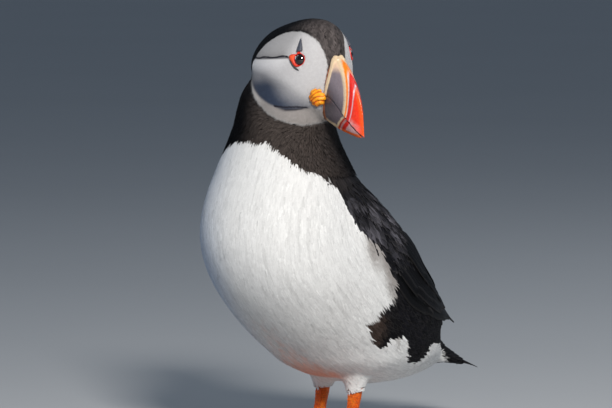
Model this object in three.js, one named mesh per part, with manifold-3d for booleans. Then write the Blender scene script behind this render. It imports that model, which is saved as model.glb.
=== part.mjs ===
// Atlantic puffin in summer plumage, standing, life size, with its head turned over its left shoulder.
// Millimetres. +Z is up, the body faces -Y and the bird's left is +X. The bird is modelled round a point of
// the floor on its middle line, and the group is shifted at the end so that the origin is at the bottom
// centre of the bird's box. The head and each leg have a group of their own, with their pieces in its frame.
import * as THREE from "three";
import { mergeVertices } from "three/addons/utils/BufferGeometryUtils.js";
import Module from "manifold-3d";

// ---------------------------------------------------------------- driving dimensions
const gap = 0.3; // between neighbouring pieces
const ringSides = 26; // corners round a body section
const flatness = 0.1; // how far a facet may leave the built shape

const body = {
  // Sections from the neck top to the tail root: the dorsal and ventral points in the side view as [y, z],
  // half the width, and how much narrower the back is than the belly.
  sections: [
    { back: [-22, 188], belly: [-52, 184], half: 15, taper: 0.0 },
    { back: [-18, 172], belly: [-61, 170], half: 23, taper: 0.0 },
    { back: [-16, 156], belly: [-66, 154], half: 25.5, taper: 0.0 },
    { back: [-10.5, 141.5], belly: [-73, 137], half: 31.6, taper: 0.0 },
    { back: [-1, 128.5], belly: [-81, 118], half: 37.4, taper: 0.03 },
    { back: [6.5, 115.5], belly: [-84, 98], half: 40.2, taper: 0.05 },
    { back: [16, 103], belly: [-76, 78], half: 42, taper: 0.05 },
    { back: [28, 91], belly: [-61, 60], half: 42.5, taper: 0.03 },
    { back: [39, 79], belly: [-41, 43], half: 42, taper: 0.0 },
    { back: [50, 67], belly: [-16, 30], half: 39.5, taper: 0.0 },
    { back: [58, 58], belly: [13, 23.5], half: 31.5, taper: 0.0 },
    { back: [64, 51], belly: [40, 24], half: 21, taper: 0.0 },
    { back: [69, 45], belly: [61, 27], half: 12, taper: 0.0 },
  ],
  rings: 26,
  neckCutHeight: 143, // where the neck is parted from the trunk at the back
  neckCutTilt: 0.1, // the parting plane drops towards the breast
};

const head = {
  origin: [33.4, -41.2, 172.2], // middle of the bill's base at the height of the mouth corner
  turn: 75, // degrees to the bird's left of straight ahead
  pitch: 19.4, // degrees down
  roll: 4, // degrees, left side up
  // Sections in the head's own frame (x forward, y left, z up): lowest and highest z, and half the width.
  sections: [
    { x: -57, low: 0, high: 7, half: 6.5 },
    { x: -55, low: -6, high: 11.6, half: 11.5 },
    { x: -50.5, low: -11.5, high: 16, half: 17 },
    { x: -44.5, low: -15, high: 20, half: 20.6 },
    { x: -36, low: -18, high: 25.2, half: 22.8 },
    { x: -27, low: -19, high: 29.4, half: 22.6 },
    { x: -17, low: -19, high: 31.6, half: 20 },
    { x: -9, low: -18, high: 29.6, half: 15.8 },
    { x: -3, low: -16.4, high: 23.8, half: 9.6 },
    { x: 0.6, low: -15, high: 19.8, half: 7 },
  ],
  rings: 18,
  cheekTaper: 0.24, // the crown is narrower than the cheeks
};

const bill = {
  culmenBase: [-1.2, 19.9], // side view, [x, z] in the head's frame
  culmenArc: [
    [7.4, 17.5],
    [17.1, 11.6],
    [26, 1.6],
  ],
  tip: [31, -11.5],
  gape: [0.5, 0],
  chin: [-4, -14.6],
  lowerArc: [
    [6.5, -15.4],
    [18.5, -14],
  ],
  mouthSag: 1.2, // how far the mouth line bows upwards
  halfWidth: 6.2, // at the mouth corner
  ridgeHalf: 1.3, // half width of the culmen's rounded ridge
  shelf: 0.35, // half of the seam between the mandibles
};

const eye = {
  place: [-12.1, 14.9], // side view, [x, z] in the head's frame
  radius: 4.1,
  opening: 2.9, // radius of the part that shows
  lidTube: 0.8,
  barAngles: [196, 284], // degrees from ahead, round the eye, that the bar below it spans
  barHalf: 0.6,
  barSink: 0.35,
};

const leg = {
  sideways: 14, // from the middle of the bird
  ahead: 4.8, // both legs are this much ahead of the middle line between them and the tail
  leftAhead: 3.6, // the left foot stands this much further ahead, the right one as much behind
  thighTop: 44,
  thighBottom: 21,
  ankle: 7,
  footSplay: 13, // degrees outwards
};

const foot = {
  // Each toe: length without its claw, angle from the foot's own line (positive outwards), thickness.
  toes: [
    { name: "inner", length: 27, angle: -27, thick: 4.6 },
    { name: "middle", length: 35, angle: -1, thick: 5.0 },
    { name: "outer", length: 34, angle: 24, thick: 4.6 },
  ],
  clawLength: 7.5,
  clawThick: 2.7,
  web: 1.1,
};

// ---------------------------------------------------------------- solids
const wasm = await Module();
wasm.setup();

function solidOf(geometry) {
  const bare = geometry.index ? geometry.toNonIndexed() : geometry.clone();
  for (const name of Object.keys(bare.attributes)) if (name !== "position") bare.deleteAttribute(name);
  const merged = mergeVertices(bare, 1e-4);
  return new wasm.Manifold(
    new wasm.Mesh({
      numProp: 3,
      vertProperties: merged.attributes.position.array,
      triVerts: new Uint32Array(merged.index.array),
    }),
  );
}

function geometryOf(solid) {
  const mesh = solid.getMesh();
  const points = new Float32Array(mesh.numVert * 3);
  for (let i = 0; i < mesh.numVert; i++) {
    const from = i * mesh.numProp;
    points.set(mesh.vertProperties.subarray(from, from + 3), i * 3);
  }
  return new THREE.BufferGeometry()
    .setAttribute("position", new THREE.BufferAttribute(points, 3))
    .setIndex(new THREE.BufferAttribute(new Uint32Array(mesh.triVerts), 1));
}

// A solid taken from its own frame into the frame that the matrix leads to.
function moved(solid, matrix) {
  return solidOf(geometryOf(solid).applyMatrix4(matrix));
}

// The largest connected piece of a cut, without the crumbs beside it.
function largest(solid) {
  return solid.decompose().reduce((best, part) => (part.volume() > best.volume() ? part : best));
}

// A closed skin over rings of the same number of points, with a point at each end.
function loft(rings) {
  const sides = rings[0].length;
  const points = rings.flat();
  const middle = (ring) => ring.reduce((sum, p) => sum.add(p), new THREE.Vector3()).divideScalar(sides);
  const first = points.push(middle(rings[0])) - 1;
  const last = points.push(middle(rings.at(-1))) - 1;
  const index = [];
  for (let k = 0; k < rings.length - 1; k++) {
    for (let i = 0; i < sides; i++) {
      const a = k * sides + i;
      const b = k * sides + ((i + 1) % sides);
      index.push(a, b, b + sides, a, b + sides, a + sides);
    }
  }
  const end = (rings.length - 1) * sides;
  for (let i = 0; i < sides; i++) {
    index.push(first, (i + 1) % sides, i);
    index.push(last, end + i, end + ((i + 1) % sides));
  }
  const geometry = new THREE.BufferGeometry().setFromPoints(points).setIndex(index);
  const solid = solidOf(geometry);
  if (solid.volume() > 0) return solid;
  for (let i = 0; i < index.length; i += 3) [index[i], index[i + 1]] = [index[i + 1], index[i]];
  return solidOf(geometry.setIndex(index));
}

// A superellipse's cosine and sine: power 1 is an ellipse, less is boxier.
function oval(angle, power = 1) {
  const shape = (v) => Math.sign(v) * Math.abs(v) ** power;
  return [shape(Math.cos(angle)), shape(Math.sin(angle))];
}

function anglesRound(sides) {
  return Array.from({ length: sides }, (_, i) => (2 * Math.PI * i) / sides);
}

// Smooth values between key rows of numbers, at share t of the way along, three columns at a time.
function between(rows, t) {
  const value = [];
  for (let k = 0; k < rows[0].length; k += 3) {
    const keys = rows.map((row) => new THREE.Vector3(row[k], row[k + 1] ?? 0, row[k + 2] ?? 0));
    const p = new THREE.CatmullRomCurve3(keys, false, "catmullrom", 0.5).getPoint(t);
    value.push(p.x, p.y, p.z);
  }
  return value;
}

// ---------------------------------------------------------------- body
function bodySolid(grow = 0) {
  const rows = body.sections.map((s) => [...s.back, s.half, ...s.belly, s.taper]);
  const rings = [];
  for (let k = 0; k < body.rings; k++) {
    const [backY, backZ, half, bellyY, bellyZ, taper] = between(rows, k / (body.rings - 1));
    const middle = new THREE.Vector3(0, (backY + bellyY) / 2, (backZ + bellyZ) / 2);
    const up = new THREE.Vector3(0, (backY - bellyY) / 2, (backZ - bellyZ) / 2);
    up.setLength(up.length() + grow);
    rings.push(
      anglesRound(ringSides).map((angle) => {
        const [c, s] = oval(angle, 0.94);
        return middle
          .clone()
          .addScaledVector(up, c)
          .add(new THREE.Vector3((half + grow) * s * (1 - taper * c), 0, 0));
      }),
    );
  }
  return loft(rings);
}

// A block that covers everything above a tilted plane through the neck, moved up by rise.
function aboveNeckCut(rise) {
  const block = new THREE.BoxGeometry(300, 300, 200);
  block.translate(0, 0, 100 + rise);
  block.rotateX(body.neckCutTilt);
  block.translate(0, -40, body.neckCutHeight);
  return solidOf(block);
}

// ---------------------------------------------------------------- head
const headFrame = (() => {
  const turn = THREE.MathUtils.degToRad(head.turn);
  const pitch = THREE.MathUtils.degToRad(head.pitch);
  const roll = THREE.MathUtils.degToRad(head.roll);
  const level = new THREE.Vector3(Math.sin(turn), -Math.cos(turn), 0);
  const up = new THREE.Vector3(0, 0, 1);
  const forward = level.clone().multiplyScalar(Math.cos(pitch)).addScaledVector(up, -Math.sin(pitch));
  const crown = up.clone().multiplyScalar(Math.cos(pitch)).addScaledVector(level, Math.sin(pitch));
  const left = new THREE.Vector3().crossVectors(crown, forward);
  left.applyAxisAngle(forward, roll);
  crown.applyAxisAngle(forward, roll);
  return new THREE.Matrix4().makeBasis(forward, left, crown).setPosition(...head.origin);
})();

function headSections(t) {
  return between(
    head.sections.map((s) => [s.x, s.low, s.high, s.half]),
    t,
  );
}

function headSolid(grow = 0) {
  const rings = [];
  for (let k = 0; k < head.rings; k++) {
    const [x, low, high, half] = headSections(k / (head.rings - 1));
    const reach = k === 0 ? -grow : k === head.rings - 1 ? grow : 0;
    rings.push(
      anglesRound(22).map((angle) => {
        const [c, s] = oval(angle, 0.96);
        const width = (half + grow) * (1 - head.cheekTaper * c);
        return new THREE.Vector3(x + reach, width * s, (low + high) / 2 + ((high - low) / 2 + grow) * c);
      }),
    );
  }
  return loft(rings);
}

// Half the head's width at a place in its side view.
function headHalfWidthAt(x, z) {
  let found = 0;
  let nearest = Infinity;
  for (let t = 0; t <= 1; t += 0.004) {
    const [sx, low, high, half] = headSections(t);
    if (Math.abs(sx - x) > nearest) continue;
    nearest = Math.abs(sx - x);
    const c = THREE.MathUtils.clamp((z - (low + high) / 2) / ((high - low) / 2), -1, 1);
    found = half * (1 - head.cheekTaper * c) * Math.sqrt(1 - c * c);
  }
  return found;
}

// ---------------------------------------------------------------- bill
// Half the width of a mandible at share s of the way from its base, where it is half wide, to its edge. It
// ends in a narrow rounded ridge.
function noseWidth(half, s) {
  const flank = half * (1 - s ** 1.9) ** 0.75;
  const ridge = s < 1 ? bill.ridgeHalf * (1 - s ** 6) ** 0.5 : 0;
  return Math.max(flank, ridge);
}

// One mandible, as rings that fan out from its pole (culmen base or chin) to the mouth line. baseAt and
// edgeAt give a ring's two ends in the side view, with t = 0 at the pole and 1 at the mouth. away is 1 where
// the pole is above the mouth and -1 where it is below.
function mandible(baseAt, edgeAt, halfAt, away, grow) {
  const across = 7;
  const steps = 10;
  const rings = [];
  for (let k = 0; k <= steps; k++) {
    const t = THREE.MathUtils.lerp(0.04, 1, k / steps);
    const base = baseAt(t);
    const edge = edgeAt(t);
    const spread = away * grow * (1.4 - 2.4 * t);
    const side = [];
    for (let i = 0; i <= across; i++) {
      const s = i / across;
      const sag = bill.mouthSag * t * 4 * s * (1 - s);
      const x = THREE.MathUtils.lerp(base.x, edge.x, s) + grow * (2 * s - 1);
      const z = THREE.MathUtils.lerp(base.y, edge.y, s) + sag + spread;
      side.push(new THREE.Vector3(x, -noseWidth(halfAt(t), s) - grow, z));
    }
    const otherSide = side.slice(0, -1).reverse().map((p) => new THREE.Vector3(p.x, -p.y, p.z));
    rings.push([...side, ...otherSide]);
  }
  return loft(rings);
}

function point2(pair) {
  return new THREE.Vector2(...pair);
}

function upperMandible(grow = 0) {
  const bulge = new THREE.Vector2(-1.6, 11);
  const base = new THREE.QuadraticBezierCurve(point2(bill.culmenBase), bulge, point2(bill.gape));
  const edge = new THREE.SplineCurve([bill.culmenBase, ...bill.culmenArc, bill.tip].map(point2));
  const lift = new THREE.Vector2(0, bill.shelf);
  return mandible(
    (t) => base.getPoint(t).addScaledVector(lift, t),
    (t) => edge.getPoint(t).addScaledVector(lift, t),
    (t) => bill.halfWidth * (0.3 + 0.7 * Math.sin((Math.PI / 2) * t) ** 0.8),
    1,
    grow,
  );
}

function lowerMandible(grow = 0) {
  const base = new THREE.LineCurve(point2(bill.chin), point2(bill.gape));
  const [tipX, tipZ] = bill.tip;
  const edge = new THREE.SplineCurve([bill.chin, ...bill.lowerArc, [tipX - 1.6, tipZ - 0.6]].map(point2));
  const drop = new THREE.Vector2(0, -bill.shelf);
  return mandible(
    (t) => base.getPoint(t).addScaledVector(drop, t),
    (t) => edge.getPoint(t).addScaledVector(drop, t),
    (t) => (bill.halfWidth - 0.5) * (0.35 + 0.65 * Math.sin((Math.PI / 2) * t) ** 0.8),
    -1,
    grow,
  );
}

// The wrinkled rosette at the mouth corner; side is -1 on the right and 1 on the left.
function rosette(side, grow = 0) {
  const geometry = new THREE.SphereGeometry(1, 18, 8);
  const place = geometry.attributes.position;
  const p = new THREE.Vector3();
  for (let i = 0; i < place.count; i++) {
    p.fromBufferAttribute(place, i);
    const wrinkle = 1 + 0.06 * Math.sin(6 * Math.atan2(p.z, p.x)) * (1 - Math.abs(p.y));
    place.setXYZ(i, p.x * (4.3 * wrinkle + grow), p.y * (2.6 + grow), p.z * (4.8 * wrinkle + grow));
  }
  const [x, z] = [bill.gape[0] - 2.2, bill.gape[1] - 3];
  geometry.rotateZ(-side * 0.6);
  geometry.translate(x, side * (headHalfWidthAt(x - 0.4, z) - 0.7), z);
  return solidOf(geometry);
}

// ---------------------------------------------------------------- eyes
// A point of the head's side in its own frame, and the way the surface faces there.
function onFace(side, x, z) {
  const step = 2;
  const slopeX = (headHalfWidthAt(x + step, z) - headHalfWidthAt(x - step, z)) / (2 * step);
  const slopeZ = (headHalfWidthAt(x, z + step) - headHalfWidthAt(x, z - step)) / (2 * step);
  const out = new THREE.Vector3(-slopeX, side, -slopeZ).normalize();
  return { surface: new THREE.Vector3(x, side * headHalfWidthAt(x, z), z), out };
}

function eyeball(side, grow = 0) {
  const ball = new THREE.SphereGeometry(eye.radius + grow, 16, 10);
  const { surface, out } = onFace(side, ...eye.place);
  const depth = Math.sqrt(eye.radius ** 2 - eye.opening ** 2);
  const centre = surface.addScaledVector(out, -depth);
  return solidOf(ball.translate(centre.x, centre.y, centre.z));
}

// Lays a shape made in the x-z plane, facing along y, on the face at an offset from the eye.
function onEye(geometry, side, along, up, lift) {
  const [x, z] = eye.place;
  const { surface, out } = onFace(side, x + along, z + up);
  geometry.applyQuaternion(new THREE.Quaternion().setFromUnitVectors(new THREE.Vector3(0, side, 0), out));
  surface.addScaledVector(out, lift);
  return solidOf(geometry.translate(surface.x, surface.y, surface.z));
}

// How far the orbital ring is drawn out at an angle round the eye: a point behind it and a low one on top.
function ringStretch(angle) {
  const rear = Math.max(0, -Math.cos(angle - 0.16)) ** 6;
  const top = Math.max(0, Math.sin(angle)) ** 8;
  const low = Math.max(0, -Math.sin(angle - 0.3)) ** 3;
  return 1 + 0.3 * rear + 0.1 * top + 0.12 * low;
}

// The orbital ring: a thin torus, drawn out round the eye.
function eyeRing(side, grow = 0) {
  const ring = new THREE.TorusGeometry(eye.opening + 0.4, eye.lidTube + grow, 6, 24);
  ring.rotateX(Math.PI / 2);
  const place = ring.attributes.position;
  for (let i = 0; i < place.count; i++) {
    const stretch = ringStretch(Math.atan2(place.getZ(i), place.getX(i)));
    place.setX(i, place.getX(i) * stretch);
    place.setZ(i, place.getZ(i) * stretch);
  }
  return onEye(ring, side, 0, 0, 0.1);
}

function browPlate(side) {
  const plate = new THREE.ConeGeometry(2.1, 6.4, 14, 1);
  plate.scale(0.8, 1, 0.62);
  plate.rotateX(Math.PI / 2);
  plate.rotateY(-0.45);
  return onEye(plate, side, -2.2, 6.2, 0.1);
}

// The horny bar below the eye: a curved bar that follows the ring from behind the eye to below it.
function lowerPlate(side) {
  const { surface, out } = onFace(side, ...eye.place);
  const lean = new THREE.Quaternion().setFromUnitVectors(new THREE.Vector3(0, side, 0), out);
  const rings = [];
  const count = 8;
  for (let k = 0; k <= count; k++) {
    const angle = THREE.MathUtils.degToRad(THREE.MathUtils.lerp(...eye.barAngles, k / count));
    const half = eye.barHalf * (0.45 + 0.55 * Math.sin((Math.PI * k) / count));
    const reach = (eye.opening + 0.4 + eye.lidTube) * ringStretch(angle) + gap + eye.barHalf;
    const radial = new THREE.Vector3(Math.cos(angle), 0, Math.sin(angle));
    rings.push(
      anglesRound(8).map((a) => {
        const p = radial.clone().multiplyScalar(reach + half * Math.cos(a));
        p.y = side * (half * Math.sin(a) - eye.barSink);
        return p.applyQuaternion(lean).add(surface);
      }),
    );
  }
  return loft(side > 0 ? rings : rings.reverse());
}

// ---------------------------------------------------------------- wings
// Sections of a folded wing from its bend to its tip: centre [x, y, z], half the chord along the body's side
// and half the thickness, with the chord's direction in the side view.
const wing = {
  sections: [
    { at: [27, -44, 130], chord: 4, thick: 2.6 },
    { at: [30, -37.5, 126], chord: 10, thick: 4 },
    { at: [34, -27, 117], chord: 16, thick: 5 },
    { at: [36, -14, 105], chord: 20, thick: 5.6 },
    { at: [36.6, 1, 91.5], chord: 22, thick: 6 },
    { at: [35, 14, 79.5], chord: 21, thick: 6 },
    { at: [31, 29, 69.5], chord: 16.5, thick: 5.6 },
    { at: [24, 44, 62], chord: 12, thick: 4.6 },
    { at: [15.5, 61, 56], chord: 6.5, thick: 2.8 },
    { at: [9.8, 72, 52.5], chord: 4, thick: 1.8 },
    { at: [7, 80, 50], chord: 1.6, thick: 0.8 },
  ],
  rings: 16,
  wrap: 46, // radius of the flank that it is bent round
};

function wingSolid(side) {
  const rows = wing.sections.map((s) => [...s.at, s.chord, s.thick]);
  const rings = [];
  for (let k = 0; k < wing.rings; k++) {
    const t = k / (wing.rings - 1);
    const [x, y, z, chord, thick] = between(rows, t);
    const next = between(rows, Math.min(1, t + 0.01));
    const last = between(rows, Math.max(0, t - 0.01));
    const along = new THREE.Vector3(next[0] - last[0], next[1] - last[1], next[2] - last[2]).normalize();
    // The chord is at right angles to the wing's run and leans with the body's side.
    const out = new THREE.Vector3(1, 0.16, 0.22 + 0.55 * t);
    const across = new THREE.Vector3().crossVectors(along, out).normalize();
    const outward = new THREE.Vector3().crossVectors(across, along).normalize();
    rings.push(
      anglesRound(16).map((angle) => {
        const [c, s] = oval(angle, 0.62);
        const bow = (chord * c) ** 2 / (2 * wing.wrap);
        const p = new THREE.Vector3(x, y, z).addScaledVector(across, chord * c);
        p.addScaledVector(outward, thick * s - bow);
        return new THREE.Vector3(side * p.x, p.y, p.z);
      }),
    );
  }
  return loft(rings);
}

// ---------------------------------------------------------------- tail
const tail = {
  sections: [
    { at: [42, 46], half: 13, thick: 11 },
    { at: [56, 41], half: 14, thick: 9 },
    { at: [66, 37.5], half: 15, thick: 6 },
    { at: [77, 33.5], half: 16.5, thick: 3 },
    { at: [85, 30.5], half: 16.5, thick: 1.7 },
    { at: [91, 28], half: 13.5, thick: 1.1 },
  ],
  rings: 14,
};

function tailSolid() {
  const rows = tail.sections.map((s) => [...s.at, s.half, s.thick]);
  const rings = [];
  for (let k = 0; k < tail.rings; k++) {
    const [y, z, half, thick] = between(rows, k / (tail.rings - 1));
    rings.push(
      anglesRound(22).map((angle) => {
        const [c, s] = oval(angle, 0.8);
        const droop = 0.16 * Math.abs(half * s) ** 1.2;
        return new THREE.Vector3(half * s, y + thick * c * 0.35, z + thick * c - droop * 0.5);
      }),
    );
  }
  return loft(rings);
}

// ---------------------------------------------------------------- legs
// A leg is modelled round the point of the floor that its foot's hub stands on. side is -1 on the right and 1
// on the left.
function legFrame(side) {
  return new THREE.Matrix4().makeTranslation(side * leg.sideways, -leg.ahead - side * leg.leftAhead, 0);
}

// Rounded sections along a limb: each stop is [y, z, half width, half depth].
function limb(stops, grow = 0) {
  const rings = [];
  const count = 8;
  for (let k = 0; k < count; k++) {
    const [y, z, half, deep] = between(stops, k / (count - 1));
    const around = (a) => new THREE.Vector3((half + grow) * Math.cos(a), y + (deep + grow) * Math.sin(a), z);
    rings.push(anglesRound(12).map(around));
  }
  return loft(rings);
}

function thigh() {
  return limb([
    [6, leg.thighTop, 8, 11],
    [5, leg.thighTop - 12, 7.4, 9],
    [5, leg.thighBottom + 4, 5.6, 6.4],
    [5, leg.thighBottom, 4.2, 4.8],
  ]);
}

function shank(grow = 0) {
  return limb(
    [
      [5.4, leg.thighBottom + 7, 3.1, 3.7],
      [5.2, leg.thighBottom + 1, 3.0, 3.9],
      [4, leg.thighBottom - 6, 2.4, 3.1],
      [2.6, leg.ankle + 3, 2.5, 3.1],
      [1, leg.ankle - 2, 3.3, 3.8],
      [0, 2.4, 3.2, 3.6],
    ],
    grow,
  );
}

// Where a toe points, seen from above, and where it ends.
function toeLine(side, toe) {
  const turn = THREE.MathUtils.degToRad(leg.footSplay + toe.angle) * side;
  const ahead = new THREE.Vector3(Math.sin(turn), -Math.cos(turn), 0);
  const across = new THREE.Vector3(Math.cos(turn), Math.sin(turn), 0);
  return { ahead, across, end: ahead.clone().multiplyScalar(toe.length) };
}

// How high the middle of a toe runs, as a share of its thickness: the floor cuts the rest off as a flat sole.
const toeRise = 0.36;
const toeTaper = 0.66;

function toeSolid(side, toe, grow = 0) {
  const { ahead, across } = toeLine(side, toe);
  const rings = [];
  const count = 6;
  for (let k = 0; k <= count; k++) {
    const t = k / count;
    const knuckle = 1 + 0.1 * Math.cos(2 * Math.PI * 3 * t);
    const taper = THREE.MathUtils.lerp(1, toeTaper, t) * knuckle * (k === count ? 0.7 : 1);
    const half = (toe.thick / 2) * taper + grow;
    const middle = ahead.clone().multiplyScalar(THREE.MathUtils.lerp(-1.5, toe.length, t));
    middle.z = toe.thick * toeRise * taper;
    const around = (a) =>
      middle
        .clone()
        .addScaledVector(across, half * Math.cos(a))
        .add(new THREE.Vector3(0, 0, half * Math.sin(a)));
    rings.push(anglesRound(7).map(around));
  }
  return loft(rings);
}

// The web: a thin plate between the toes with a scooped front edge.
function webSolid(side) {
  const tips = foot.toes.map((toe) => toeLine(side, toe).end.multiplyScalar(0.96));
  const outline = new THREE.Shape();
  outline.moveTo(0, 2);
  outline.lineTo(tips[0].x, tips[0].y);
  for (let k = 0; k < 2; k++) {
    const scoop = tips[k].clone().add(tips[k + 1]).multiplyScalar(0.42);
    outline.quadraticCurveTo(scoop.x, scoop.y, tips[k + 1].x, tips[k + 1].y);
  }
  const plate = { depth: foot.web, bevelEnabled: false, curveSegments: 5 };
  return solidOf(new THREE.ExtrudeGeometry(outline, plate));
}

const floorBlock = solidOf(new THREE.BoxGeometry(400, 400, 50).translate(0, 0, -25));

// A block round the leg from a height upwards, or up to that height.
function legBlock(height, way) {
  const size = 30;
  return solidOf(new THREE.BoxGeometry(size, size, size).translate(0, 0, height + (way * size) / 2));
}

function footSolid(side) {
  const hub = solidOf(new THREE.SphereGeometry(4.3, 10, 7).scale(0.95, 1.05, 1).translate(0, 0, 3.2));
  let made = webSolid(side).add(hub).add(shank());
  for (const toe of foot.toes) made = made.add(toeSolid(side, toe));
  return made.subtract(legBlock(leg.ankle - gap, 1)).subtract(floorBlock);
}

function clawSolid(side, toe) {
  const { ahead, across, end } = toeLine(side, toe);
  const rise = toe.thick * toeRise * toeTaper;
  const at = (share, z) => end.clone().addScaledVector(ahead, gap + foot.clawLength * share).setZ(z);
  const curve = new THREE.QuadraticBezierCurve3(at(0, rise + 0.3), at(0.58, rise + 2.2), at(0.96, 0.25));
  const rings = [];
  for (let k = 0; k <= 4; k++) {
    const t = k / 4;
    const half = (foot.clawThick / 2) * (1 - t) ** 0.7 + 0.22;
    const normal = new THREE.Vector3().crossVectors(across, curve.getTangent(t)).normalize();
    const around = (a) =>
      curve
        .getPoint(t)
        .addScaledVector(across, half * 0.75 * Math.cos(a))
        .addScaledVector(normal, half * Math.sin(a));
    rings.push(anglesRound(7).map(around));
  }
  return loft(rings).subtract(floorBlock).subtract(toeSolid(side, toe, gap));
}

// ---------------------------------------------------------------- putting it together
const looks = {
  white: { color: 0xf2f1ec, roughness: 0.9 },
  black: { color: 0x14130f, roughness: 0.6 },
  face: { color: 0xd9d9d8, roughness: 0.9 },
  billRed: { color: 0xe0401c, roughness: 0.35 },
  billGrey: { color: 0x5b6370, roughness: 0.4 },
  rosette: { color: 0xf39a12, roughness: 0.5 },
  eye: { color: 0x140b07, roughness: 0.05 },
  ring: { color: 0xd92a12, roughness: 0.5 },
  plate: { color: 0x4d5866, roughness: 0.5 },
  leg: { color: 0xe8500e, roughness: 0.45 },
  claw: { color: 0x17130f, roughness: 0.3 },
};

const puffin = new THREE.Group();

function place(name, solid, look, group = puffin) {
  const plain = solidOf(geometryOf(largest(solid))).simplify(flatness);
  const material = new THREE.MeshStandardMaterial({ ...looks[look], metalness: 0 });
  const mesh = new THREE.Mesh(geometryOf(plain), material);
  mesh.name = name;
  group.add(mesh);
}

function groupAt(matrix) {
  const group = new THREE.Group();
  group.applyMatrix4(matrix);
  puffin.add(group);
  return group;
}

const sides = [
  ["right", -1],
  ["left", 1],
];

function buildTrunkAndNeck(headRoom) {
  const whole = bodySolid();
  place("trunk", whole.subtract(aboveNeckCut(-gap)), "white");
  place("neck", whole.intersect(aboveNeckCut(0)).subtract(headRoom), "black");
}

function buildHead() {
  const group = groupAt(headFrame);
  const bills = upperMandible(gap).add(lowerMandible(gap));
  let skull = headSolid().subtract(bills);
  place("bill_upper", upperMandible(), "billRed", group);
  place("bill_lower", lowerMandible(), "billGrey", group);
  for (const [name, side] of sides) {
    const ballRoom = eyeball(side, gap);
    const ringRoom = eyeRing(side, gap).add(ballRoom);
    const onHead = (part) => part.subtract(headSolid(gap)).subtract(ballRoom);
    place("eye_" + name, eyeball(side), "eye", group);
    place("eye_ring_" + name, onHead(eyeRing(side)), "ring", group);
    place("eye_plate_upper_" + name, onHead(browPlate(side)).subtract(ringRoom), "plate", group);
    place("eye_plate_lower_" + name, onHead(lowerPlate(side)).subtract(ringRoom), "plate", group);
    place("gape_rosette_" + name, onHead(rosette(side)).subtract(bills), "rosette", group);
    skull = skull.subtract(ballRoom);
  }
  place("head", skull, "face", group);
}

function buildWingsAndTail(bodyRoom, headRoom) {
  for (const [name, side] of sides) {
    place("wing_" + name, wingSolid(side).subtract(bodyRoom).subtract(headRoom), "black");
  }
  place("tail", tailSolid().subtract(bodyRoom).subtract(wingSolid(-1)).subtract(wingSolid(1)), "black");
}

function buildLegs(bodyRoom) {
  for (const [name, side] of sides) {
    const group = groupAt(legFrame(side));
    const bodyHere = moved(bodyRoom, legFrame(side).invert());
    place("thigh_" + name, thigh().subtract(bodyHere).subtract(shank(gap)), "white", group);
    place("shank_" + name, shank().subtract(bodyHere).subtract(legBlock(leg.ankle, -1)), "leg", group);
    place("foot_" + name, footSolid(side), "leg", group);
    for (const toe of foot.toes) place(`claw_${toe.name}_${name}`, clawSolid(side, toe), "claw", group);
  }
}

const bodyRoom = bodySolid(gap);
const headRoom = moved(headSolid(gap), headFrame);
buildTrunkAndNeck(headRoom);
buildHead();
buildWingsAndTail(bodyRoom, headRoom);
buildLegs(bodyRoom);

puffin.updateMatrixWorld(true);
const box = new THREE.Box3().setFromObject(puffin, true);
puffin.position.set(-(box.min.x + box.max.x) / 2, -(box.min.y + box.max.y) / 2, -box.min.z);
puffin.updateMatrixWorld(true);

export default puffin;
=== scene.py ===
import bpy
import math
import numpy as np
from mathutils import Matrix, Vector
from mathutils.bvhtree import BVHTree


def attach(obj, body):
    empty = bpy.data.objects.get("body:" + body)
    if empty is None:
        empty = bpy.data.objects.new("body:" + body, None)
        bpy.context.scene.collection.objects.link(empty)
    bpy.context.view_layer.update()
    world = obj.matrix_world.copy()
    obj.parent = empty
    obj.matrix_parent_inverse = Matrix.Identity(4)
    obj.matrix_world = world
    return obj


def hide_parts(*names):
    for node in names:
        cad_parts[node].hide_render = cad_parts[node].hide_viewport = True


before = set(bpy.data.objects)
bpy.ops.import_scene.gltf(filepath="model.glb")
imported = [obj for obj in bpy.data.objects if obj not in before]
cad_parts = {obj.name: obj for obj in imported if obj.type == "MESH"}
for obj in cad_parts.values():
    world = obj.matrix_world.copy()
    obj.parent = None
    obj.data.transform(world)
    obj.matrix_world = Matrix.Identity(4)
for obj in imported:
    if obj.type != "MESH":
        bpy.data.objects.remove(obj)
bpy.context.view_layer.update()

shift = np.array([-6.536, -3.6005, 0.0])  # from the bird's own frame to the shared one
rng = np.random.default_rng(41)


def toBird(co):
    return np.asarray(co) * 1000.0 - shift


def toScene(co):
    return (np.asarray(co) + shift) / 1000.0


def unit(v):
    return v / np.maximum(np.linalg.norm(v, axis=-1, keepdims=True), 1e-9)


def smoothStep(x, low, high):
    t = np.clip((np.asarray(x, float) - low) / (high - low), 0, 1)
    return t * t * (3 - 2 * t)


def mix(a, b, t):
    return a + (b - a) * t


def mixRows(a, b, t):
    # the same for rows of three numbers, with one share for each row
    return a + (b - a) * np.asarray(t, float)[:, None]


def fade(x, low, high):
    # 1 below low, 0 above high
    return smoothStep(-np.asarray(x, float), -high, -low)


def bump(values, middle, width):
    return np.exp(-((values - middle) / width) ** 2)


def arrays(table):
    return {key: np.array(value) for key, value in table.items()}


def layered(tone, base, *layers):
    # the base tone with others laid over it in turn, each by its share
    color = tone[base]
    for name, share in layers:
        color = mixRows(color, tone[name], share)
    return color


def through(table, x):
    # smooth line through [x, value...] stops, clamped at its ends
    table = np.array(table, float)
    columns = [np.interp(x, table[:, 0], table[:, k]) for k in range(1, table.shape[1])]
    return columns[0] if len(columns) == 1 else np.stack(columns, -1)


def deselect():
    bpy.ops.object.select_all(action="DESELECT")


def activate(obj):
    deselect()
    obj.select_set(True)
    bpy.context.view_layer.objects.active = obj


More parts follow.
